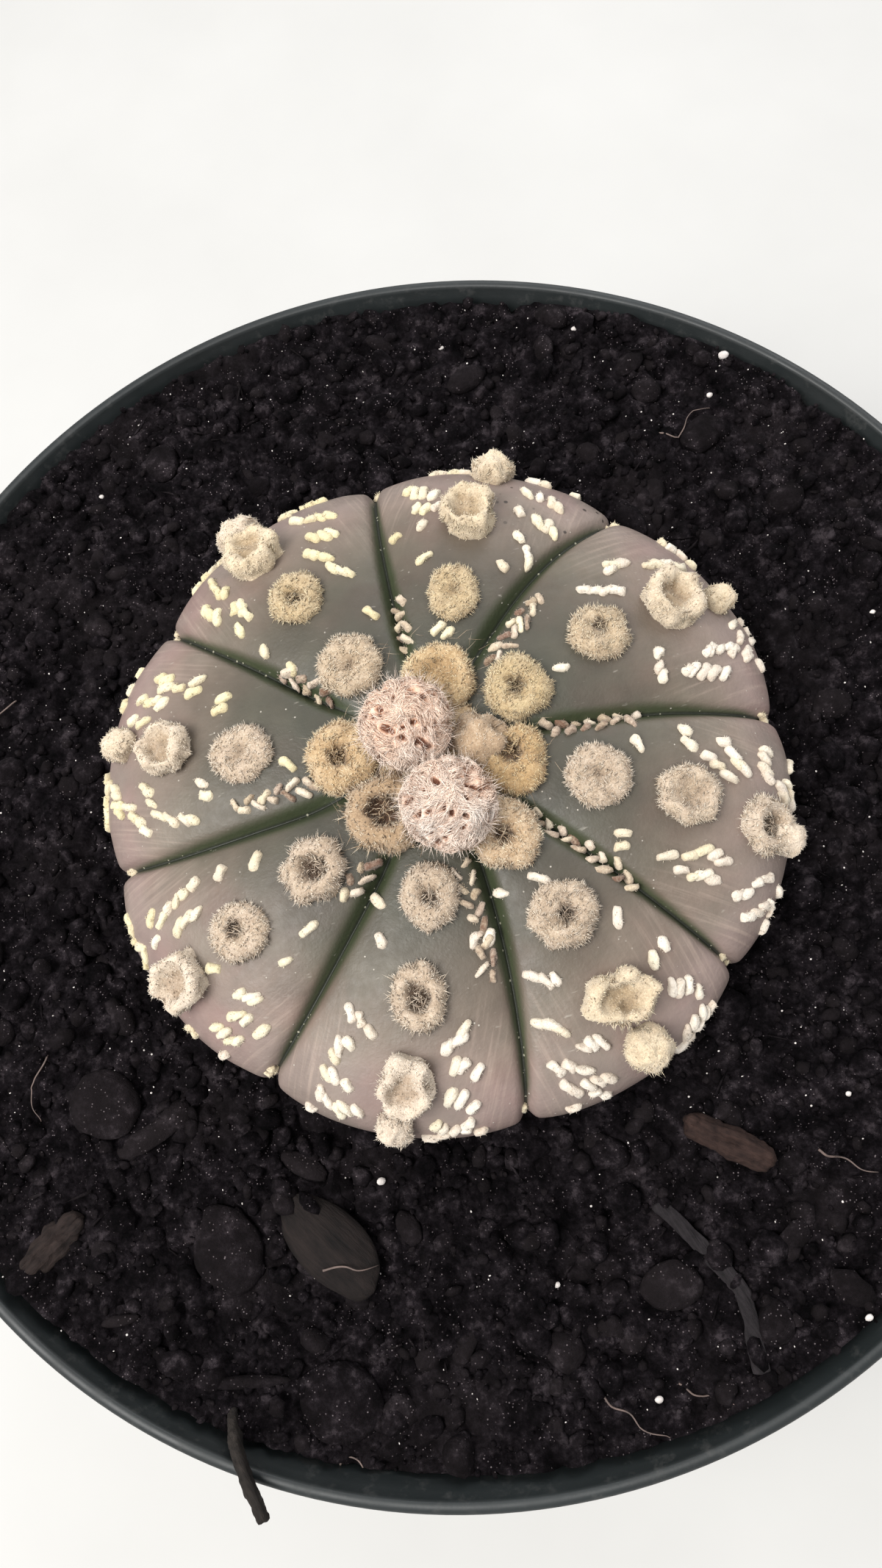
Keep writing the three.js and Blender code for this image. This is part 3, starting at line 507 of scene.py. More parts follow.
def wool_material(name, root, middle, tip, tint, fibre=0.22):
    """Matted plant wool: dark at the roots, partly the wool's own brown and partly painted shade deep among
    the hairs, pale at the tips, and tinted where a mark says so.
    """
    look = Shader(name, 0.85, Specular_IOR_Level=0.15, Sheen_Weight=0.3, Sheen_Roughness=0.5,
                  Sheen_Tint=(1.0, 0.95, 0.86, 1))
    fuzz = look.plus(look.around(look.noise(fibre, 4, roughness=0.7), 0.6),
                     look.around(look.noise(1.1, 3), 0.3))
    ground = look.ramp(look.plus(look.mark("along"), fuzz), (0.05, root), (0.42, middle), (0.9, tip))
    patch = look.plus(look.mark("tint"), look.around(look.noise(1.6), 0.4))
    ground = look.tinted(look.ramp(patch, (0.05, 0.0), (1.0, 1.0)), ground, tint)
    return look.finish(ground, look.noise(fibre * 0.8, 4), 0.2)


def soil_material():
    """Almost black grains, paler where a mark says so, with small glints."""
    look = Shader("potting_soil", 0.9, Specular_IOR_Level=0.05)
    grain = look.plus(look.around(look.noise(0.8, 5, roughness=0.75), 0.9), look.noise(2.6, 3))
    ground = look.ramp(grain, (0.26, (0.0006, 0.0004, 0.0006)), (0.44, (0.0030, 0.0022, 0.0028)),
                       (0.60, (0.0085, 0.0067, 0.0080)), (0.78, (0.0350, 0.0285, 0.0320)))
    paler = look.ramp(look.mark("tint"), (0.0, 0.0), (1.0, 0.5))
    ground = look.mix(paler, ground, (0.0190, 0.0152, 0.0160))
    glint = look.times(look.ramp(look.cells(0.5), (0.10, 1.0), (0.2, 0.0)),
                       look.ramp(look.noise(2.2, 3), (0.48, 0.0), (0.60, 0.85)))
    ground = look.mix(glint, ground, (0.16, 0.135, 0.14))
    return look.finish(ground, look.noise(0.3, 5, roughness=0.7), 0.3, 0.9)


def pot_material():
    """Black plastic with a slight sheen, dusty where a mark says so."""
    look = Shader("pot_plastic", 0.5, Specular_IOR_Level=0.45)
    ground = look.ramp(look.noise(25, 3), (0.3, (0.0065, 0.0085, 0.0088)), (0.7, (0.0110, 0.0145, 0.0150)))
    powder = look.ramp(look.noise(2.5, 6, roughness=0.7), (0.55, 0.0), (0.75, 1.0))
    dust = look.times(powder, look.mark("dust"))
    ground = look.mix(look.times(dust, 0.25), ground, (0.075, 0.072, 0.068))
    shine = look.ramp(look.plus(look.noise(6, 6), look.times(dust, 0.4)), (0.35, 0.44), (0.9, 0.64))
    relief = look.plus(look.times(look.noise(0.8, 3), 0.3), look.noise(18, 2))
    return look.finish(ground, relief, 0.12, 0.5, shine)


def bark_material(name, dark, light, heading, grain=0.5):
    """Wood or bark with its grain along a heading in degrees."""
    look = Shader(name, 0.85, Specular_IOR_Level=0.2)
    turned = look.node("ShaderNodeMapping", {"Vector": look.place}, vector_type="TEXTURE")
    turned.inputs["Rotation"].default_value = (0, 0, math.radians(heading))
    stretched = look.node("ShaderNodeMapping", {"Vector": turned.outputs[0], "Scale": (0.16, 1.0, 1.0)})
    fibres = look.noise(grain, 5, stretched.outputs[0], 0.7)
    share = look.plus(look.times(fibres, 0.75), look.times(look.noise(2.5, 3), 0.35))
    return look.finish(look.ramp(share, (0.38, dark), (0.75, light)), fibres, 0.35, 0.9)


def plain_material(name, dark, light, size, roughness=0.7):
    """Two shades in patches of a size in millimetres."""
    look = Shader(name, roughness)
    shades = look.ramp(look.noise(size, 4), (0.3, dark), (0.7, light))
    return look.finish(shades, look.noise(size * 0.4, 4), 0.1, 0.6)


MATERIALS = {
    "skin": skin_material(),
    "pot": pot_material(),
    "soil": soil_material(),
    "areole": wool_material("areole_wool", (0.070, 0.044, 0.030), (0.36, 0.275, 0.200), (0.84, 0.735, 0.61),
                            (0.98, 0.94, 0.70)),
    "fleck": wool_material("fleck_wool", (0.15, 0.085, 0.06), (0.50, 0.41, 0.325), (0.72, 0.665, 0.58),
                           (0.98, 0.98, 0.72), 0.3),
    "crown": wool_material("crown_wool", (0.075, 0.040, 0.024), (0.375, 0.265, 0.170), (0.88, 0.775, 0.62),
                           (1.0, 0.92, 0.66)),
    "bud": wool_material("bud_wool", (0.15, 0.065, 0.04), (0.62, 0.43, 0.33), (0.97, 0.88, 0.80),
                         (1.0, 0.86, 0.76), 0.3),
    "bristle": plain_material("brown_bristle", (0.10, 0.045, 0.03), (0.22, 0.12, 0.08), 0.5),
    "thread": plain_material("root_thread", (0.05, 0.035, 0.03), (0.15, 0.105, 0.09), 1.5),
    "clod": bark_material("clod_bark", (0.0024, 0.0016, 0.0015), (0.0145, 0.0098, 0.0086),
                          OVAL_CLOD_HEADING, 0.7),
    "grain": plain_material("pale_grain", (0.35, 0.32, 0.30), (0.68, 0.63, 0.60), 0.8),
}


# The plant's skin

def meridian(way):
    """Radius and height of the dome. The way is 0 at the growing point, 1 at the equator, 2 underneath."""
    angle = (1 - np.asarray(way, float)) * np.pi / 2
    radius = EQUATOR_RADIUS * np.abs(np.cos(angle)) ** (2 / DOME_SQUARENESS)
    rise = np.abs(np.sin(angle)) ** (2 / DOME_SQUARENESS)
    dip = CROWN_DIP * np.exp(-((radius / CROWN_DIP_RADIUS) ** 2))
    return radius, np.where(angle >= 0, DOME_HEIGHT * rise - dip, UNDERSIDE_DEPTH * np.sin(angle))


def meridian_normal(way):
    """How far outward and upward the dome faces."""
    step = 0.002
    ahead, behind = meridian(np.asarray(way) + step), meridian(np.maximum(np.asarray(way) - step, 0))
    along = np.stack([ahead[0] - behind[0], ahead[1] - behind[1]], -1)
    return unit(np.stack([-along[..., 1], along[..., 0]], -1))


def meridian_at(radius):
    """The way down the dome at a radius."""
    cosine = np.minimum(np.asarray(radius, float) / EQUATOR_RADIUS, 1) ** (DOME_SQUARENESS / 2)
    return 1 - np.arccos(cosine) / (np.pi / 2)


def grooves_at(radius):
    """The azimuths of the grooves at each radius."""
    return GROOVES + GROOVE_BENDS * (1 - np.asarray(radius, float)[..., None] / EQUATOR_RADIUS)


def skin_points(way, rib, across):
    """Points on the ribbed skin, from a rib and -1 to 1 across it, and where they lie."""
    radius, height = meridian(way)
    edges = grooves_at(radius)
    first, second = (np.take_along_axis(edges, (rib + k)[:, None], -1)[:, 0] for k in (0, 1))
    half = (first - second) / 2
    azimuth = (first + second) / 2 + across * half
    to_groove = (1 - np.abs(across)) * half * radius
    at = {"radius": radius, "to_groove": to_groove, "beside": across * half * radius}
    fade = smoothstep(radius, *RIB_FADE) * np.where(way > 1, np.maximum(2 - way, 0), 1)
    crease = CREASE_DEPTH * np.exp(-((to_groove / CREASE_HALF_WIDTH) ** 2))
    relief = (RIB_BULGE * across ** 2 * np.abs(across) + crease) * fade
    normal = meridian_normal(way)
    lean = RIM_LEAN * smoothstep(radius, 20, EQUATOR_RADIUS)[:, None]
    points = polar(radius - relief * normal[..., 0], azimuth, height - relief * normal[..., 1])
    return points + PLANT + lean, at


def place(rib, out, across):
    """A point on the skin, and its own axes there: outward, sideways and along the normal."""
    index = RIBS.index(rib)
    azimuth = (GROOVES[index] + GROOVES[index + 1]) / 2 + across / out
    edges = grooves_at(out)
    azimuth = edges[0] - np.mod(edges[0] - azimuth, FULL_TURN)
    inside = min(np.searchsorted(-edges, -azimuth, side="right") - 1, len(RIBS) - 1)
    share = (2 * azimuth - edges[inside] - edges[inside + 1]) / (edges[inside] - edges[inside + 1])
    way = meridian_at(out)
    point, _ = skin_points(np.array([way]), np.array([inside]), np.array([share]))
    slope = meridian_normal(way)
    normal = polar(slope[0], azimuth, slope[1])
    side = np.array([-np.sin(azimuth), np.cos(azimuth), 0])
    return point[0], np.stack([np.cross(side, normal), side, normal])


def make_skin():
    columns_each, rows_above, rows_below, neck_depth = 64, 84, 14, 22
    # Columns crowd towards the grooves, where the relief is
    even = np.linspace(-1, 1, columns_each, endpoint=False)
    across = np.tile(-np.sign(even) * (1 - (1 - np.abs(even)) ** 1.5), len(RIBS))
    rib = np.repeat(np.arange(len(RIBS)), columns_each)
    columns = len(rib)
    rows = np.concatenate([np.linspace(0.03, 1, rows_above), np.linspace(1.03, 1.62, rows_below)])
    way, rib = np.repeat(rows, columns), np.tile(rib, len(rows))
    points, at = skin_points(way, rib, np.tile(across, len(rows)))
    outward = unit(points - (PLANT - [0, 0, 20]))
    points += outward * (0.16 * noise(points, 7, 1) + 0.04 * noise(points, 2.2, 2))[:, None]
    radius, to_groove, beside = at["radius"], at["to_groove"], at["beside"]
    fade = smoothstep(radius, 6, 13)
    band_width = 0.65 + 0.75 * smoothstep(radius, 36, 14)
    marks = {
        "out": np.where(way <= 1, 0.9 * radius / EQUATOR_RADIUS, 0.9 + 0.16 * (way - 1)),
        # band: the grooves' dark green, partly painted shade; crease: painted shade at their bottoms
        "band": np.exp(-((to_groove / band_width) ** 2)) * fade * smoothstep(radius, 41, 35),
        "crease": np.exp(-((to_groove / 0.3) ** 2)) * fade,
        "along": (radius * 0.13 + rib * 31) * MM,
        "beside": beside * 1.9 * MM,
        "streak": smoothstep(radius, 24, 34) * np.exp(-(((to_groove - 3) / 3.5) ** 2)),
        "specks": ((rib == 0) & (beside < -2)) * smoothstep(radius, 26, 32) * 0.9,
    }
    top, neck = PLANT + [0, 0, DOME_HEIGHT - CROWN_DIP], PLANT - [0, 0, neck_depth]
    ring, count = np.arange(columns), len(points)
    faces = [grid_faces(len(rows), columns), cone(ring, count, True),
             cone(count - columns + ring, count + 1)]
    marks = {name: np.append(values, [0, 0]) for name, values in marks.items()}
    return Shape().add(np.vstack([points, top, neck]), faces, **marks)


# Hairs

# A hair's faces: three points are at its root, three at its bend if it has one, and one at its tip
STRAIGHT_HAIR = [(0, 1, 3), (1, 2, 3), (2, 0, 3), (0, 2, 1)]
BENT_HAIR = [(0, 1, 4), (0, 4, 3), (1, 2, 5), (1, 5, 4), (2, 0, 3), (2, 3, 5), (3, 4, 6), (4, 5, 6),
             (5, 3, 6), (0, 2, 1)]


def hairs(shape, roots, directions, lengths, widths, shade, bends=None, **marks):
    """Tapered three-sided hairs, straight without bends. The shade is a pair: how pale at root and tip."""
    count = len(roots)
    directions = unit(directions)
    helper = unit(np.cross(directions, random.normal(size=(count, 3))))
    ring = rings(3, helper, np.cross(directions, helper))
    ring = ring * np.broadcast_to(widths, (count,))[:, None, None] * 0.5
    lengths = np.broadcast_to(lengths, (count,))[:, None]
    low, high = (np.broadcast_to(value, (count,)) for value in shade)
    if bends is None:
        tip = roots + directions * lengths
        points = np.concatenate([roots[:, None] + ring, tip[:, None]], 1)
        local, tones = STRAIGHT_HAIR, [low] * 3 + [high]
    else:
        middle = roots + directions * lengths * 0.5 + bends * 0.25
        tip = roots + directions * lengths + bends
        points = np.concatenate([roots[:, None] + ring, middle[:, None] + ring * 0.8, tip[:, None]], 1)
        local, tones = BENT_HAIR, [low] * 3 + [(low + high) / 2] * 3 + [high]
    size = len(tones)
    faces = (np.arange(count)[:, None, None] * size + np.array(local)[None]).reshape(-1, 3)
    tones = np.stack(tones, -1) * random.uniform(0.7, 1.15, count)[:, None]
    spread = {name: np.repeat(np.broadcast_to(value, (count,)), size) for name, value in marks.items()}
    shape.add(points, faces, along=tones.ravel(), **spread)


# Areoles

# Profiles from the middle of the top to the root: radius and height in parts of the half width
PAD_PROFILES = {
    "disc": [(0, 0.25), (0.25, 0.26), (0.5, 0.31), (0.75, 0.31), (0.92, 0.2), (1, 0.04), (0.95, -0.14),
             (0.85, -0.35)],
    "dish": [(0, 0.22), (0.3, 0.22), (0.5, 0.3), (0.7, 0.43), (0.86, 0.4), (0.98, 0.22), (1, 0.02),
             (0.95, -0.14), (0.85, -0.35)],
    "pitted": [(0, 0.08), (0.12, 0.1), (0.22, 0.26), (0.34, 0.38), (0.55, 0.45), (0.8, 0.38),
               (0.96, 0.22), (1, 0.02), (0.95, -0.14), (0.85, -0.35)],
    "ring": [(0, 0.12), (0.2, 0.12), (0.36, 0.22), (0.5, 0.46), (0.68, 0.54), (0.88, 0.42), (1, 0.16),
             (0.98, -0.08), (0.88, -0.38)],
    "collar": [(0, 0.5), (0.3, 0.45), (0.5, 0.52), (0.64, 0.78), (0.76, 0.92), (0.88, 0.88), (0.97, 0.62),
               (1, 0.36), (0.94, 0.05), (0.86, -0.4)],
    "knob": [(0, 1.3), (0.25, 1.26), (0.5, 1.1), (0.78, 0.84), (0.97, 0.5), (0.96, 0.16), (0.84, -0.2),
             (0.74, -0.6)],
}

# How pale each shape is at a radius and a height. All but the knob are darker in the middle: partly the
# felt's own browner middle, partly painted shade in the hollow there
PAD_SHADES = {
    "disc": lambda radius, height: 0.63 - 0.33 * np.exp(-((radius / 0.24) ** 2)),
    "dish": lambda radius, height: 0.52 + 0.14 * smoothstep(radius, 0.4, 0.7),
    "pitted": lambda radius, height: 0.08 + 0.54 * smoothstep(radius, 0.12, 0.4),
    "ring": lambda radius, height: 0.08 + 0.54 * smoothstep(radius, 0.28, 0.56),
    "collar": lambda radius, height: 0.46 + 0.30 * smoothstep(radius, 0.3, 0.7),
    "knob": lambda radius, height: 0.62 + 0.12 * height,
}

# Each shape's number of hairs, how uneven its outline is, how long its hairs are, and how lumpy it is
PAD_KINDS = {
    "disc": (1150, 0.025, 1, 0.04),
    "dish": (1100, 0.04, 1, 0.08),
    "pitted": (1100, 0.035, 1, 0.06),
    "ring": (950, 0.045, 1, 0.10),
    "collar": (1000, 0.07, 0.68, 0.17),
    "knob": (900, 0.05, 0.68, 0.17),
}


class Pad:
    """One areole's felt in its own axes, with lumps and an uneven outline of its own."""

    def __init__(self, kind, size, stretch, tint, seed, pale, origin, axes):
        draw = np.random.default_rng(seed)
        self.kind, self.size, self.stretch, self.tint, self.pale = kind, size * 0.92, stretch, tint, pale
        self.origin, self.axes = origin, axes
        self.hair_count, self.unevenness, self.hair_length, self.lumpiness = PAD_KINDS[kind]
        self.hollow = kind in ("pitted", "ring")
        self.waves = np.arange(2, 8)
        self.phases = draw.uniform(0, FULL_TURN, (2, 6))
        self.amounts = draw.normal(0, 1, (2, 6)) / self.waves ** 0.4
        self.offset = draw.uniform(-40, 40, 3)
        self.shift = draw.normal(0, 0.12, 2) if self.hollow else np.zeros(2)
        self.corners = np.array(PAD_PROFILES[kind])
        steps = steps_along(self.corners)
        self.steps = steps / steps[-1]
        self.edge = self.steps[np.argmax(self.corners[:, 0])]

    def profile(self, share):
        """Radius and height at a share of the way from the middle of the top to the root."""
        return [np.interp(share, self.steps, self.corners[:, column]) for column in (0, 1)]

    def at(self, share, turn):
        """Points and normals on the felt, and how pale it is there."""
        radius, height = self.profile(share)
        ahead, behind = self.profile(np.minimum(share + 0.04, 1)), self.profile(np.maximum(share - 0.04, 0))
        slope = unit(np.stack([behind[1] - ahead[1], ahead[0] - behind[0]], -1))
        angles = self.waves[:, None] * turn[None]
        outline, hole = (self.amounts[k] @ np.sin(angles + self.phases[k][:, None]) for k in (0, 1))
        uneven = self.unevenness * outline * smoothstep(radius, 0.2, 0.8)
        uneven += 0.12 * hole * smoothstep(radius, 0.7, 0.2)
        points = polar(self.size * radius * (1 + uneven), turn, self.size * height)
        points[:, :2] += ((1 - np.clip(radius, 0, 1)) ** 2 * self.size)[:, None] * self.shift
        points[:, 0] *= self.stretch
        normals = unit(polar(slope[..., 0], turn, slope[..., 1]))
        where = points + self.offset
        lumps = self.size * self.lumpiness * (noise(where, 1.7, 5) + 0.7 * noise(where, 0.9, 7))
        return points + normals * lumps[:, None], normals, PAD_SHADES[self.kind](radius, height) + self.pale

    def add_hairs(self, shape, roots, aims, lengths, widths, shade, bends=None):
        """Hairs whose roots, aims and bends are given in the pad's own axes."""
        bends = None if bends is None else bends @ self.axes
        hairs(shape, roots @ self.axes + self.origin, aims @ self.axes, lengths, widths, shade, bends,
              tint=self.tint)

    def add_felt(self, shape):
        """The pad's solid felt, which is darker than the hairs on it: painted shade under the hairs."""
        columns, rows = 52, 18
        share = np.append(np.repeat(np.linspace(0.02, 1, rows), columns), 0)
        points, normals, shade = self.at(share, np.append(np.tile(circle(columns), rows), 0))
        points += normals * 0.10 * noise(points + self.offset, 0.4, 6)[:, None]
        ring = np.arange(columns)
        faces = [grid_faces(rows, columns)[:, ::-1], cone(ring, rows * columns),
                 fan((rows - 1) * columns + ring)]
        shape.add(points @ self.axes + self.origin, faces, along=shade * 0.75, tint=self.tint)

    def add_velvet(self, shape):
        """Short hairs all over the pad, which lean together in small patches and outward at its edge."""
        count = round(self.hair_count * min((self.size / 3.3) ** 2, 2))
        share, turn = random.uniform(0.02, 0.93, count * 3), random.uniform(0, FULL_TURN, count * 3)
        keep = random.uniform(0, 1, count * 3) < np.clip(self.profile(share)[0], 0.05, 1)
        points, normals, shade = self.at(share[keep][:count], turn[keep][:count])
        aims = normals + noise_vectors(points + self.offset, 0.6, 11) * 1.3
        aims += random.normal(0, 0.3, points.shape)
        shade = shade + 0.26 * noise(points + self.offset, 0.55, 13)
        lengths = random.uniform(0.45, 0.85, len(points)) * self.hair_length
        widths = random.uniform(0.13, 0.24, len(points))
        # The hairs' darker roots are partly the wool's own brown and partly painted shade among them
        self.add_hairs(shape, points - normals * 0.15, aims, lengths, widths, (shade * 0.37, shade + 0.42))

    def add_tufts(self, shape, count, each, spread, reach, level):
        """Hairs round the pad's edge that meet in small points."""
        for tuft in range(count):
            angle = (tuft + random.uniform(-0.45, 0.45)) * FULL_TURN / count
            far, high = random.uniform(*reach) * self.size, random.uniform(*level) * self.size
            tip = np.array([far * math.cos(angle) * self.stretch, far * math.sin(angle), high])
            share = np.clip(self.edge + random.uniform(-0.22, 0.05, each), 0, 1)
            points, normals, shade = self.at(share, angle + random.normal(0, spread / count, each))
            aims = tip + random.normal(0, 0.12, (each, 3)) - points
            lengths = np.linalg.norm(aims, axis=1) * random.uniform(0.7, 1.15, each)
            # The tufts' darker roots are partly the wool's own brown and partly painted shade among them
            self.add_hairs(shape, points - normals * 0.1, aims, lengths, 0.17, (shade * 0.5, shade + 0.40))

    def add_tangle(self, shape, count, reach):
        """Loose hairs across the hollow in the pad's middle."""
        turn, out = random.uniform(0, FULL_TURN, count), random.uniform(0, reach, count) * self.size
        roots = polar(out, turn, random.uniform(0.22, 0.5, count) * self.size)
        roots[:, :2] += self.shift * self.size
        aims = random.normal(0, 1, (count, 3)) * [1, 1, 0.35]
        lengths, widths = random.uniform(0.5, 1.6, count), random.uniform(0.09, 0.16, count)
        self.add_hairs(shape, roots, aims, lengths, widths, (0.25, 0.85), random.normal(0, 0.3, (count, 3)))

    def grow(self, solid, fibres):
        """Adds the pad's felt and all its hairs."""
        raised, ring = self.kind in ("collar", "knob"), self.kind == "ring"
        self.add_felt(solid)
        self.add_velvet(fibres)
        level = (0.3, 0.9) if raised else (-0.05, 0.25)
        self.add_tufts(fibres, round(FULL_TURN * self.size / 0.8), 7, 3, (1.02, 1.14), level)
        if self.hollow:
            self.add_tangle(fibres, 45 if ring else 25, 0.45 if ring else 0.3)
        if ring:
            self.add_tufts(fibres, 22, 2, 3.5, (1.15, 1.4), (0.1, 0.5))


def make_areoles():
    solid, fibres, spots = Shape(), [Shape(), Shape()], []
    for index, rib in enumerate(RIBS):
        for number, (kind, out, across, size, stretch, tint) in enumerate(AREOLES[rib]):
            origin, axes = place(rib, out, across)
            pale = RIM_PALENESS * float(smoothstep(out, 24, 37))
            pad = Pad(kind, size, stretch, tint, 100 * index + number, pale, origin, axes)
            pad.grow(solid, fibres[index // 4])
            spots.append((origin, size))
    return solid, fibres, spots


# Flecks

def add_fleck(shape, origin, axes, heading, length, width, height, tint, tone):
    """One raised fleck, like a grain of felt, with a few hairs round its edge."""
    columns, rows, fuzz, root = 16, 5, 16, 0.35
    turn = circle(columns)
    rise = np.linspace(0, 1, rows)[:, None] * np.pi / 2
    ends, sides = (np.sign(wave) * np.abs(wave) ** 0.65 for wave in (np.cos(turn), np.sin(turn)))
    flare = 1 + 0.14 * np.sin(ends * 4 + heading * 9)
    across = np.cos(rise) ** 0.5
    points = np.stack([0.5 * length * across * ends, 0.47 * width * across * sides * flare,
                       (height + root) * np.sin(rise) * np.ones(columns) - root], -1).reshape(-1, 3)
    points = points[:(rows - 1) * columns + 1]
    points += 0.16 * noise_vectors(points + origin, 0.6, 3)
    axes = spin(heading) @ axes
    ring = (rows - 2) * columns + np.arange(columns)
    top = np.stack([ring, np.roll(ring, -1), np.full(columns, (rows - 1) * columns)], -1)
    # Each fleck is darker towards its foot: partly the wool's own browner edge, partly painted shade where
    # it meets the skin and its neighbours
    shade = tone * (0.60 + 0.40 * np.repeat(np.linspace(0, 1, rows), columns) ** 0.6)[:len(points)]
    shape.add(points @ axes + origin, [grid_faces(rows - 1, columns), top, fan(np.arange(columns))],
              along=shade, tint=tint)
    turn, level = random.uniform(0, FULL_TURN, fuzz), random.uniform(0, 1, fuzz)
    inset = 1 - 0.5 * level
    edge = np.stack([0.46 * length * np.cos(turn) * inset, 0.46 * width * np.sin(turn) * inset,
                     height * level - 0.05], -1)
    aims = polar(1, turn, 0.2 + 1.2 * level) + random.normal(0, 0.3, (fuzz, 3))
    hairs(shape, edge @ axes + origin, aims @ axes, random.uniform(0.22, 0.42, fuzz), 0.1,
          (tone * 0.8, tone * 1.15), tint=tint)


def greenness(origin):
    """The flecks' wool is greener in patches, and towards the plant's far left."""
    x, y, _ = origin - PLANT
    return 0.3 + 0.6 * noise(origin[None], 14, 31)[0] - 0.012 * x + 0.010 * y


def make_flecks(spots):
    shape = Shape()
    taken = list(spots)

    def add(rib, out, across, heading, length, width, height, room, tone, tint=None):
        """Adds a fleck, unless an areole or another fleck is there."""
        origin, axes = place(rib, out, across)
        if any(np.linalg.norm(origin - other) < reach * 0.9 + room for other, reach in taken):
            return
        taken.append((origin, room))
        if tint is None:
            tint = np.clip(greenness(origin) + random.normal(0, 0.2), 0, 1)
        add_fleck(shape, origin, axes, heading, length, width, height, tint, tone)

    for rib in RIBS:
        for row in FLECK_ROWS[rib]:
            out, across, out_end, across_end = (row * 2)[:4]
            steps = round(math.hypot(out_end - out, across_end - across) / FLECK_SPACING)
            # The flecks slant outward to the rib's middle
            slant = -math.copysign(FLECK_SLANT, across) if abs(across) > 2.2 else random.uniform(-1.5, 1.5)
            for share in np.linspace(0, 1, steps + 1):
                add(rib, out + share * (out_end - out) + random.normal(0, FLECK_JITTER),
                    across + share * (across_end - across) + random.normal(0, FLECK_JITTER),
                    slant + random.normal(0, FLECK_JITTER), random.uniform(*FLECK_LENGTH),
                    random.uniform(*FLECK_WIDTH), FLECK_HEIGHT, 0.3, random.uniform(*FLECK_TONE))
    for index, (start, end) in enumerate(BRAIDS):
        rib, half = RIBS[index], (GROOVES[index] - GROOVES[index + 1]) / 2
        for step, out in enumerate(np.arange(start, end, BRAID_STEP)):
            side = 1 if step % 2 == 0 else -1
            quarter = math.pi / 2 if random.uniform() < 0.15 else 0
            add(rib, out, half * out + side * random.uniform(0.2, 0.85),
                quarter - side * math.radians(random.uniform(15, 55)), random.uniform(1.3, 2.3),
                random.uniform(0.65, 1.05), random.uniform(0.35, 0.8), 0.12, random.uniform(0.08, 0.62),
                random.uniform(0, 0.5))
        # A few close each groove at the rim
        for _ in range(3):
            out = random.uniform(38.3, 39.5)
            add(rib, out, half * out + random.uniform(-0.6, 0.6), random.uniform(0, math.pi),
                1.3, 0.8, 0.4, 0.1, 0.6, 0.6)
        # A chain along the rim, which makes the plant's outline bumpy
        for across in np.append(np.arange(-9.5, -3.5, 1.3), np.arange(4, 10, 1.3)):
            if random.uniform() < 0.8:
                add(rib, random.uniform(38.5, 39.4), across + random.uniform(-0.4, 0.4),
                    math.pi / 2 + random.normal(0, 0.6), random.uniform(1.4, 2.3),
                    random.uniform(0.9, 1.2), 0.55, 0.2, random.uniform(*FLECK_TONE))
    return shape


# The crown

def above_plant(azimuth, out, height):
    """A point at an azimuth in degrees, given how far out and how high over the plant's equator."""
    turn = math.radians(azimuth)
    return PLANT + [out * math.cos(turn), out * math.sin(turn), height]


def crown_point(azimuth, out):
    return above_plant(azimuth, out, float(meridian(meridian_at(out))[1]))


def make_crown_wool():
    shape = Shape()
    for number, (kind, azimuth, out, size, tint, pale) in enumerate(CROWN_LOBES):
        origin = crown_point(azimuth, out) + [0, 0, 0.05 if number < 2 else 0.3]
        pad = Pad(kind, size, 1, tint, 900 + number, pale, origin, spin(math.radians(azimuth)))
        pad.grow(shape, shape)
    # Cobweb fibres from the crown over the skin round it
    count = 230
    azimuths, outs = random.uniform(-180, 180, count), random.uniform(5, 13.5, count)
    roots = np.array([crown_point(*at) for at in zip(azimuths, outs)]) + [0, 0, 0.3]
    aims = random.normal(0, 1, (count, 3)) * [1, 1, 0.25] + [0, 0, 0.35]
    hairs(shape, roots, aims, random.uniform(1.2, 3.0, count), 0.045, (0.35, 0.7),
          random.normal(0, 0.35, (count, 3)) - [0, 0, 0.3], tint=0.1)
    return shape


def bud_frame(turn, tilt):
    """Three directions at a place on a ball: straight out, round it and up it."""
    outward = polar(np.cos(tilt), turn, np.sin(tilt))
    round_it = np.stack([-np.sin(turn), np.cos(turn), np.zeros_like(turn)], -1)
    return outward, round_it, np.cross(outward, round_it)


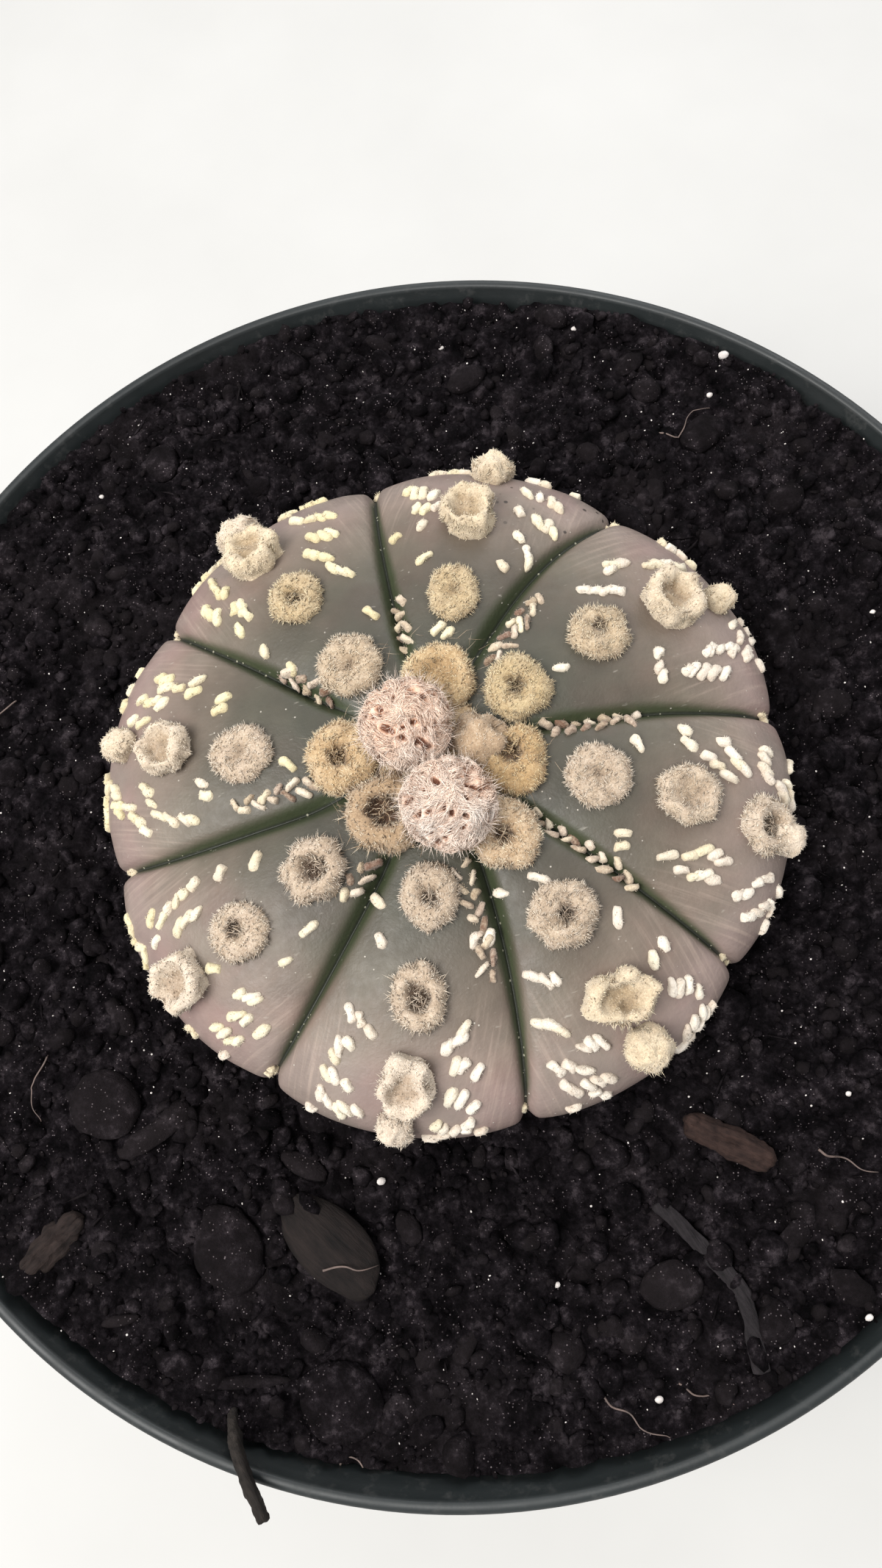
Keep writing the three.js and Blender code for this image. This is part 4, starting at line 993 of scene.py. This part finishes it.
class Bud:
    """A woolly bud: a bumpy body with small hollows, and matted strands that run round them."""

    def __init__(self, azimuth, out, radius, seed, hollows=42):
        self.draw = np.random.default_rng(seed)
        self.radius, self.seed = radius, seed
        self.middle = above_plant(azimuth, out, DOME_HEIGHT - CROWN_DIP + BUD_LIFT)
        turns = np.arange(hollows) * GOLDEN_ANGLE + self.draw.normal(0, 0.25, hollows)
        rise = np.linspace(0.05, 0.97, hollows) + self.draw.normal(0, 0.05, hollows)
        self.hollow_at, _, _ = bud_frame(turns, np.arcsin(np.clip(rise, 0, 1)))
        self.hollow_sizes = self.draw.uniform(0.04, 0.075, hollows)
        self.hollow_sizes *= self.draw.choice([1, 1, 1, 1.7], hollows)
        aside = unit(np.cross(self.hollow_at, [0, 0, 1]) + self.draw.normal(0, 0.3, (hollows, 3)))
        self.hollow_long = np.cross(self.hollow_at, aside)

    def hollow(self, outward):
        """How deep in a hollow each direction is, from 0 to 1. The hollows are slits up the bud."""
        off = outward[:, None] - self.hollow_at[None]
        reach = (off ** 2).sum(-1) - 0.78 * (off * self.hollow_long[None]).sum(-1) ** 2
        return np.exp(-reach / self.hollow_sizes ** 2).max(-1)

    def at(self, turn, tilt):
        """A point on the bud's overlapping scales, and the three directions there."""
        outward, round_it, up_it = bud_frame(turn, tilt)
        scales = self.radius * (0.97 + 0.045 * np.cos(9 * turn + 7.4 * tilt) * np.cos(tilt))
        reach = scales + 0.35 * noise(outward * self.radius, 3.2, self.seed)
        return self.middle + outward * reach[:, None] * BUD_FLATTENING, outward, round_it, up_it

    def tint(self, points):
        return 0.5 + 0.6 * noise(points, 4.5, self.seed + 4)

    def shape(self):
        shape = Shape()
        columns, rows = 96, 56
        turn, tilt = np.tile(circle(columns), rows), np.repeat(np.linspace(-1.45, 1.53, rows), columns)
        points, outward, _, _ = self.at(turn, tilt)
        hollow = self.hollow(outward)
        rough = 0.16 * noise(points, 0.9, self.seed) + 0.10 * noise(points, 0.45, self.seed) - 0.55 * hollow
        ring = np.arange(columns)
        faces = [grid_faces(rows, columns), fan((rows - 1) * columns + ring, True), fan(ring)]
        # The hollows are painted dark brown: partly the bud's own brown scales, partly painted shade in
        # them
        shape.add(points + outward * rough[:, None], faces,
                  along=0.66 - 0.66 * smoothstep(hollow, 0.25, 0.6), tint=self.tint(points))
        self.add_strands(shape)
        self.add_fuzz(shape)
        return shape

    def add_strands(self, shape, count=7500):
        """Strands that lie on the bud in swirls and leave its hollows open."""
        draw = self.draw
        turn, tilt = draw.uniform(0, FULL_TURN, count), np.arcsin(draw.uniform(-0.35, 1, count))
        roots, outward, round_it, up_it = self.at(turn, tilt)
        swirl = np.pi / 2 + noise(outward * self.radius, 3.1, self.seed + 9) * 1.5
        swirl = (swirl + draw.normal(0, 0.3, count))[:, None]
        flow = round_it * np.cos(swirl) + up_it * np.sin(swirl)
        length, lift = draw.uniform(1.0, 2.6, count), draw.uniform(0, 0.28, count)
        width = draw.uniform(0.05, 0.10, count)
        keep = np.ones(count, bool)
        for share in (0, 0.33, 0.67, 1):
            keep &= self.hollow(unit(outward * self.radius + flow * (length * share)[:, None])) < 0.35
        every = (roots, outward, flow, length, lift, width)
        roots, outward, flow, length, lift, width = (values[keep] for values in every)
        sag = (length ** 2 / (2 * self.radius) + 0.05 + 0.2 * lift)[:, None]
        pale = 0.66 + 0.2 * noise(roots, 0.8, self.seed + 2)
        hairs(shape, roots + outward * lift[:, None], flow + outward * 0.1, length, width,
              (pale, pale + 0.3 + lift), draw.normal(0, 0.1, (len(roots), 3)) - outward * sag,
              tint=self.tint(roots))

    def add_fuzz(self, shape, count=900):
        """Curled hairs that stand off the bud."""
        draw = self.draw
        tilt = np.arcsin(draw.uniform(-0.4, 0.95, count))
        roots, outward, _, _ = self.at(draw.uniform(0, FULL_TURN, count), tilt)
        aims, lengths = outward + draw.normal(0, 0.6, (count, 3)), draw.uniform(0.6, 1.7, count)
        hairs(shape, roots, aims, lengths, 0.05, (0.7, 1.05), draw.normal(0, 0.45, (count, 3)), tint=0.3)

    def add_bristles(self, shape, each=4):
        """Short brown bristles in the hollows."""
        draw, size = self.draw, self.hollow_at.shape
        roots = self.middle + self.hollow_at * 0.86 * self.radius * BUD_FLATTENING
        for _ in range(each):
            aside, aims = draw.normal(0, 0.16, size), self.hollow_at + draw.normal(0, 0.35, size)
            hairs(shape, roots + aside, aims, draw.uniform(0.3, 0.6, size[0]),
                  draw.uniform(0.10, 0.16, size[0]), (0.2, 1.0))


# The pot

def make_pot():
    bead, band_step, base_radius, wall, floor, foot_bend = 0.85, 1.2, 53, 1.2, 2, 2
    foot_radius, band_z, inner_top = base_radius - foot_bend, POT_HEIGHT - 20, POT_HEIGHT - 3 * bead
    step_z = band_z - band_step
    top_radius = RIM_RADIUS - 2 * bead + wall - 0.4

    def wall_radius(z):
        return base_radius + (top_radius - base_radius) * z / POT_HEIGHT

    band_radius = wall_radius(band_z)

    def lower_radius(z):
        share = (z - foot_bend) / (step_z - foot_bend)
        return base_radius + share * (band_radius - band_step - base_radius)

    # From the middle of the base outward and up, round the rim's bead, and down inside to the floor
    profile = [(base_radius - 14, 0), (base_radius - 13, 0.35), (base_radius - 8, 0.35),
               (base_radius - 7, 0), (foot_radius, 0)]
    profile += [(foot_radius + foot_bend * math.sin(turn), foot_bend - foot_bend * math.cos(turn))
                for turn in np.linspace(0.3, 1.57, 6)]
    profile += [(lower_radius(z), z) for z in np.linspace(6, step_z - 0.6, 8)]
    profile += [(band_radius - band_step + 0.3, step_z), (band_radius - 0.3, band_z - 0.5),
                (band_radius, band_z)]
    profile += [(wall_radius(z), z) for z in np.linspace(band_z + 4, POT_HEIGHT - 2.4, 5)]
    profile += [(RIM_RADIUS - bead + bead * math.cos(turn), POT_HEIGHT - bead + bead * math.sin(turn))
                for turn in np.radians(np.linspace(-70, 125, 22))]
    profile += [(RIM_RADIUS - 1.75 * bead, POT_HEIGHT - 0.5), (RIM_RADIUS - 2.3 * bead, POT_HEIGHT - 1.3),
                (wall_radius(inner_top) - wall, inner_top), (band_radius - wall, band_z + 1),
                (lower_radius(step_z) - wall, step_z)]
    profile += [(lower_radius(z) - wall, z) for z in (50, 20, 5)]
    profile = np.array(profile + [(lower_radius(floor) - wall - 2, floor)])
    columns = 240
    turn, ring, count = circle(columns), np.arange(columns), len(profile) * columns
    radius = profile[:, :1] * (1 + 0.0009 * np.sin(2 * turn + 0.6) + 0.0005 * np.sin(5 * turn))
    points = polar(radius, turn, profile[:, 1:]).reshape(-1, 3)
    dust = np.append(np.repeat(smoothstep(profile[:, 1], 93, 99) + 0.25, columns), [0.3, 0.3])
    faces = [grid_faces(len(profile), columns), cone(ring, count, True),
             cone(count - columns + ring, count + 1)]
    shape = Shape().add(np.vstack([points, [0, 0, 0], [0, 0, floor]]), faces, dust=dust)
    pot = shape.piece("nursery_pot", MATERIALS["pot"], "pot_plastic", ["pot"], smooth=False)
    cut_drain_holes(pot, floor)
    pot.data.shade_smooth()
    pot.data.set_sharp_from_angle(angle=math.radians(38))


def cut_drain_holes(pot, floor, holes=6, out=38, radius=4, sides=24):
    cutter = bpy.data.meshes.new("drain_cutter")
    points, faces = [], []
    for hole in range(holes):
        turn = FULL_TURN * hole / holes
        x = out * math.cos(turn) + radius * np.cos(circle(sides))
        y = out * math.sin(turn) + radius * np.sin(circle(sides))
        low = len(points)
        high, end = low + sides, low + 2 * sides
        points += [(a * MM, b * MM, z * MM) for z in (-floor, 2 * floor) for a, b in zip(x, y)]
        faces += (grid_faces(2, sides) + low).tolist()
        faces += [list(range(high - 1, low - 1, -1)), list(range(high, end))]
    cutter.from_pydata(points, [], faces)
    tool = add_object("drain_cutter", cutter)
    modifier = pot.modifiers.new("holes", "BOOLEAN")
    modifier.operation = "DIFFERENCE"
    modifier.object = tool
    modifier.solver = "EXACT"
    bpy.context.view_layer.update()
    cut = bpy.data.meshes.new_from_object(pot.evaluated_get(bpy.context.evaluated_depsgraph_get()))
    pot.modifiers.clear()
    pot.data = cut
    bpy.data.objects.remove(tool)


# The soil and what lies on it

def soil_level(x, y):
    """Height of the soil's solid under a point, in millimetres."""
    hit = SOIL_TREE.ray_cast(Vector((x * MM, y * MM, (POT_HEIGHT + 30) * MM)), Vector((0, 0, -1)))
    return hit[0].z / MM if hit[0] is not None else POT_HEIGHT - 5


def clod_level(x, y, length, width):
    """Height of the soil round a clod."""
    reach = max(length, width) / 2 + 1
    around = [(x + reach * math.cos(turn), y + reach * math.sin(turn)) for turn in circle(8)]
    return np.median([soil_level(*at) for at in around])


def soil_surface(x, y):
    """Height of the crumbly soil under many points, in millimetres."""
    level = np.array([soil_level(*at) for at in zip(x, y)])
    flat = np.stack([x, y, np.zeros(len(x))], -1)
    patch = smoothstep(noise(flat, 9, 14), -0.3, 0.6)
    lumps = 1.1 * patch * crumbs(x, y, 4.4, 1) + 0.9 * crumbs(x, y, 2.3, 2)
    lumps += (0.85 * crumbs(x, y, 1.35, 3) + 0.5 * crumbs(x, y, 0.9, 4)
              + 0.8 * smoothstep(np.hypot(x, y), 65, 72))
    height = level + lumps + 0.3 * noise(flat, 1.4, 8) + 0.3 * noise(flat, 0.8, 9) - 2.0
    for clod_x, clod_y, length, width, _, heading, _ in CLODS:
        along, over = on_heading(x - clod_x, y - clod_y, heading)
        inside = (along / length) ** 2 + (over / width) ** 2 < 0.33
        under_clod = np.minimum(height, clod_level(clod_x, clod_y, length, width) - 0.2)
        height = np.where(inside, under_clod, height)
    # Next to the plant the soil stays under its skin, and next to the wall below the rim
    tuck = np.clip(PLANT[2] - height - 0.5, 0, UNDERSIDE_DEPTH) / UNDERSIDE_DEPTH
    skin = EQUATOR_RADIUS * np.sqrt(np.clip(1 - tuck ** 2, 0, 1))
    under_plant = np.hypot(x - PLANT[0], y - PLANT[1]) < skin + 0.3
    height = np.where(under_plant, np.minimum(height, POT_HEIGHT - 6.5), height)
    return np.where(np.hypot(x, y) > 69, np.minimum(height, POT_HEIGHT - 0.2), height)


def on_soil(x, y, lift=0):
    """Points on the crumbly soil, or a little above it."""
    return np.stack([x, y, soil_surface(x, y) + lift], -1)


def strewn(count, inner, outer, lift):
    """Points on the soil at random places between two radii."""
    turn, radius = random.uniform(0, FULL_TURN, count), random.uniform(inner, outer, count)
    return on_soil(radius * np.cos(turn), radius * np.sin(turn), lift)


def make_soil():
    columns, rows, rim = 700, 104, 73.0
    # Radius and height of the soil's sides, down to the pot's floor
    sides = [(72.7, 97), (71.4, 91), (66.4, 79), (63.5, 60), (52.2, 2.6)]
    radius, turn = np.repeat(np.linspace(28.5, rim, rows), columns), np.tile(circle(columns), rows)
    x, y = radius * np.cos(turn), radius * np.sin(turn)
    points = [on_soil(x, y)]
    edge_x, edge_y = x[-columns:], y[-columns:]
    for reach, z in sides:
        points.append(np.stack([edge_x * reach / rim, edge_y * reach / rim, np.full(columns, z)], -1))
    tint = np.append(smoothstep(noise(points[0], 9, 12), 0.2, 0.9) * 0.5, np.zeros(len(sides) * columns))
    ring, last = np.arange(columns), (rows + len(sides) - 1) * columns
    faces = [grid_faces(rows + len(sides), columns), fan(last + ring), fan(ring, True)]
    return Shape().add(np.vstack(points), faces, tint=tint)


def scatter(shape, count, sizes, level, sink, seed):
    """Angular crumbs bedded in the soil between the plant and the wall."""
    draw = np.random.default_rng(seed)
    start, faces = ball(level)
    turn, radius = draw.uniform(0, FULL_TURN, count * 2), np.sqrt(draw.uniform(36 ** 2, 72 ** 2, count * 2))
    size = draw.uniform(*sizes, count * 2)
    x, y = radius * np.cos(turn), radius * np.sin(turn)
    clear = (np.hypot(x - PLANT[0], y - PLANT[1]) > EQUATOR_RADIUS - 3) & (radius + size < 72.2)
    x, y, size = (values[clear][:count] for values in (x, y, size))
    for number, (at, half) in enumerate(zip(on_soil(x, y), size)):
        lump = start * (1 + 0.30 * noise(start + number * 3.7, 0.8, seed)[:, None])
        rotation, _ = np.linalg.qr(draw.normal(size=(3, 3)))
        points = (lump * draw.uniform(0.6, 1.5, 3) * half) @ (rotation * np.sign(np.linalg.det(rotation)))
        shape.add(points * [1, 1, 0.8] + at + [0, 0, sink * half], faces, tint=draw.uniform(-0.4, 0.8))


def make_clods():
    """Smooth clods and flat chips, half sunk in the soil."""
    shape = Shape()
    for number, (x, y, length, width, height, heading, tint) in enumerate(CLODS):
        middle = np.array([x, y, clod_level(x, y, length, width) + 0.1 * height])
        add_clod(shape, middle, (length / 2, width / 2, height), heading, number, tint)
    return shape


def add_clod(shape, middle, halves, heading, seed, tint):
    start, faces = ball(4)
    swell = 1 + 0.13 * noise(start + seed * 2.9, 0.9, 5) + 0.04 * noise(start - seed, 0.3, 6)
    lump = start * swell[:, None] * halves
    return shape.add(lump @ spin(math.radians(heading)) + middle, faces, tint=tint)


def oval_clod():
    """Middle and half sizes of the big oval clod of rotten bark, from its solid."""
    low, high = (np.array(corner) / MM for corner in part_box("bark_chip_3"))
    return (low + high) / 2, (6.9, 3.7, (high[2] - low[2]) * 0.52)


def oval_clod_level(x, y):
    """Height of the top of the oval clod, or zero beside it."""
    middle, halves = oval_clod()
    along, over = on_heading(x - middle[0], y - middle[1], OVAL_CLOD_HEADING)
    inside = 1 - (along / halves[0]) ** 2 - (over / halves[1]) ** 2
    return np.where(inside > 0, middle[2] + halves[2] * np.sqrt(np.maximum(inside, 0)), 0)


def make_oval_clod():
    return add_clod(Shape(), *oval_clod(), OVAL_CLOD_HEADING, 3, 0.4)


def make_splinters(count=150):
    """Dark needles of bark that lie on the soil."""
    shape = Shape()
    roots = strewn(count, 42, 70, 0.25)
    aims = random.normal(0, 1, (count, 3)) * [1, 1, 0.12] + [0, 0, 0.1]
    lengths, widths = random.uniform(1.2, 3.6, count), random.uniform(0.3, 0.6, count)
    bends = random.normal(0, 0.3, (count, 3)) * [1, 1, 0.3]
    hairs(shape, roots, aims, lengths, widths, (0, 0), bends, tint=random.uniform(0, 1, count))
    return shape


def make_root_threads():
    shape = Shape()
    sides, steps = 6, 26
    for number, (route, thickness, lift) in enumerate(ROOT_THREADS):
        corners = np.array(route, float)
        lengths = steps_along(corners)
        at = np.linspace(0, lengths[-1], steps)
        x = np.interp(at, lengths, corners[:, 0]) + 0.2 * np.sin(at * 1.7 + number)
        y = np.interp(at, lengths, corners[:, 1]) + 0.2 * np.cos(at * 1.3 + number)
        ground = np.array([soil_level(*spot) for spot in zip(x, y)]) + lift
        z = np.maximum(ground, oval_clod_level(x, y) + 0.4) + 0.25 * np.sin(at * 1.1 + number)
        line = np.stack([x, y, z], -1)
        ahead = unit(np.gradient(line, axis=0))
        side = unit(np.cross(ahead, [0, 0, 1]))
        thin = thickness * 0.5 * np.linspace(1, 0.35, steps)[:, None, None]
        first = np.arange(sides)
        shape.add(line[:, None] + thin * rings(sides, side, np.cross(side, ahead)),
                  [grid_faces(steps, sides), fan(first), fan((steps - 1) * sides + first, True)])
    return shape


def make_grains():
    """White grains on the soil, and tiny pale specks among its crumbs."""
    shape = Shape()
    start, faces = ball(2)
    for number, (x, y, size) in enumerate(PALE_GRAINS):
        lump = start * (1 + 0.25 * noise(start + number * 2.3, 0.9, 4)[:, None])
        middle = on_soil(np.array([x]), np.array([y]), 0.3)[0]
        shape.add(lump * [size, size * 0.8, size * 0.7] + middle, faces)
    start, faces = ball(1)
    for at in strewn(420, 41.5, 72, 0.06):
        shape.add(start * random.uniform(0.06, 0.16, 3) + at, faces)
    return shape


def refine(node, material, rough, size, heading, soften, grow, rounds=3):
    """A finer copy of a small solid: split, softened, and roughened along its grain."""
    source = bmesh.new()
    source.from_mesh(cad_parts[node].data)
    bmesh.ops.remove_doubles(source, verts=source.verts, dist=1e-6)
    bmesh.ops.triangulate(source, faces=source.faces)
    for _ in range(rounds):
        bmesh.ops.subdivide_edges(source, edges=source.edges, cuts=1, use_grid_fill=True)
        bmesh.ops.smooth_vert(source, verts=source.verts, factor=soften, use_axis_x=True, use_axis_y=True,
                              use_axis_z=True)
    mesh = bpy.data.meshes.new(f"{node}_fine")
    source.to_mesh(mesh)
    source.free()
    mesh.update()
    points = np.array([corner.co for corner in mesh.vertices]) / MM
    normals = np.array([corner.normal for corner in mesh.vertices])
    along, over = on_heading(points[:, 0], points[:, 1], heading)
    relief = rough * noise(np.stack([along * 0.22, over, points[:, 2]], -1), size, 21)
    points += normals * (grow + relief + 0.5 * rough * noise(points, size * 0.6, 22))[:, None]
    mesh.vertices.foreach_set("co", (points * MM).astype(np.float32).ravel())
    mesh.update()
    mesh.shade_smooth()
    dress(mesh, material, [node])


# The bark and the twig: node, slot, darkest and lightest colour, heading of the grain, roughness, size of
# the grain, how much it is softened, and how much thicker it gets
WOOD = [
    ("bark_chip_1", "red_bark", (0.009, 0.0045, 0.0038), (0.040, 0.022, 0.0175),
     -42, 0.28, 0.9, 0.35, 0.15),
    ("bark_chip_2", "brown_bark", (0.006, 0.0038, 0.0034), (0.027, 0.0175, 0.0150),
     28, 0.28, 0.9, 0.35, 0.15),
    ("dark_twig", "twig", (0.0045, 0.0036, 0.0040), (0.022, 0.018, 0.020),
     -75, 0.2, 0.8, 0.08, 0.1),
    ("bark_sliver", "grey_bark", (0.005, 0.0040, 0.0036), (0.028, 0.0225, 0.0190),
     -70, 0.16, 0.6, 0.08, 0.28),
]


# Stage, light and camera

def make_stage(half=1.6):
    mesh = bpy.data.meshes.new("floor")
    corners = [(-half, -half, 0), (half, -half, 0), (half, half, 0), (-half, half, 0)]
    mesh.from_pydata(corners, [], [(0, 1, 2, 3)])
    floor = add_object("floor", mesh)
    mesh.materials.append(plain_material("pale_floor", (0.46, 0.455, 0.44), (0.49, 0.485, 0.47), 60, 0.6))


def add_area_light(name, at, size, power, colour):
    light = bpy.data.lights.new(name, "AREA")
    light.shape = "RECTANGLE"
    light.size, light.size_y = size
    light.energy = power
    light.color = colour
    lamp = add_object(name, light)
    lamp.location = at
    lamp.rotation_euler = (Vector((0, 0, 0.1)) - Vector(at)).to_track_quat("-Z", "Y").to_euler()


def make_light():
    add_area_light("key", (-0.40, -0.10, 0.85), (0.55, 0.55), 12.0, (1, 0.985, 0.96))
    add_area_light("fill", (0.45, 0.55, 0.6), (0.9, 0.5), 4.0, (0.97, 0.98, 1))
    world = bpy.data.worlds.new("studio")
    bpy.context.scene.world = world
    world.use_nodes = True
    world.node_tree.nodes["Background"].inputs["Color"].default_value = (0.97, 0.98, 1, 1)
    world.node_tree.nodes["Background"].inputs["Strength"].default_value = 0.7


def make_camera(sensor=36):
    camera = bpy.data.cameras.new("camera")
    camera.sensor_fit = "VERTICAL"
    camera.sensor_height = sensor
    camera.lens = sensor * FOCAL_PX / PHOTO_HEIGHT_PX
    camera.clip_start = 0.005
    forward = np.array([0, math.cos(CAMERA_DOWN), -math.sin(CAMERA_DOWN)])
    right = np.array([1.0, 0, 0])
    up = np.cross(right, forward)
    cosine, sine = math.cos(CAMERA_ROLL), math.sin(CAMERA_ROLL)
    rolled_right, rolled_up = cosine * right + sine * up, -sine * right + cosine * up
    turned = Matrix([[rolled_right[i], rolled_up[i], -forward[i]] for i in range(3)]).to_4x4()
    holder = add_object("camera", camera)
    holder.matrix_world = Matrix.Translation(Vector(CAMERA_AT) * MM) @ turned
    bpy.context.scene.camera = holder
    bpy.context.scene.view_settings.view_transform = "Standard"


make_stage()
make_light()
make_camera()

make_skin().piece("cactus_skin", MATERIALS["skin"], "cactus_skin", ["cactus_body"])
PADS, FIBRES, SPOTS = make_areoles()
PADS.piece("areole_pads", MATERIALS["areole"], "wool")
FIBRES[0].piece("areole_fibres_right", MATERIALS["areole"], "wool")
FIBRES[1].piece("areole_fibres_left", MATERIALS["areole"], "wool")
make_flecks(SPOTS).piece("wool_flecks", MATERIALS["fleck"], "wool")
make_crown_wool().piece("crown_fleece", MATERIALS["crown"], "wool", ["crown_wool"])
BRISTLES = Shape()
for NUMBER, (AZIMUTH, OUT, RADIUS) in enumerate(BUDS, 1):
    BUD = Bud(AZIMUTH, OUT, RADIUS, 40 + NUMBER)
    BUD.shape().piece(f"woolly_bud_{NUMBER}", MATERIALS["bud"], "bud_wool", [f"flower_bud_{NUMBER}"])
    BUD.add_bristles(BRISTLES)
BRISTLES.piece("bud_bristles", MATERIALS["bristle"], "bud_wool")

make_pot()
make_soil().piece("soil_bed", MATERIALS["soil"], "soil", ["soil"])
CRUMBS = Shape()
scatter(CRUMBS, 3000, (0.22, 0.5), 1, 0.2, seed=2)
scatter(CRUMBS, 1100, (0.5, 1.1), 1, 0.1, seed=3)
scatter(CRUMBS, 420, (0.9, 1.8), 2, 0.0, seed=4)
CRUMBS.piece("soil_crumbs", MATERIALS["soil"], "soil", smooth=False)
make_clods().piece("soil_clods", MATERIALS["soil"], "soil")
make_splinters().piece("soil_splinters", MATERIALS["soil"], "soil")
make_root_threads().piece("root_threads", MATERIALS["thread"], "soil")
make_grains().piece("pale_grains", MATERIALS["grain"], "soil", smooth=False)
make_oval_clod().piece("bark_chip_3_fine", MATERIALS["clod"], "brown_bark", ["bark_chip_3"])
for NODE, SLOT, DARK, LIGHT, HEADING, ROUGH, GRAIN, SOFTEN, GROW in WOOD:
    BARK = bark_material(f"{NODE}_wood", DARK, LIGHT, HEADING)
    refine(NODE, BARK, ROUGH, GRAIN, HEADING, SOFTEN, GROW)
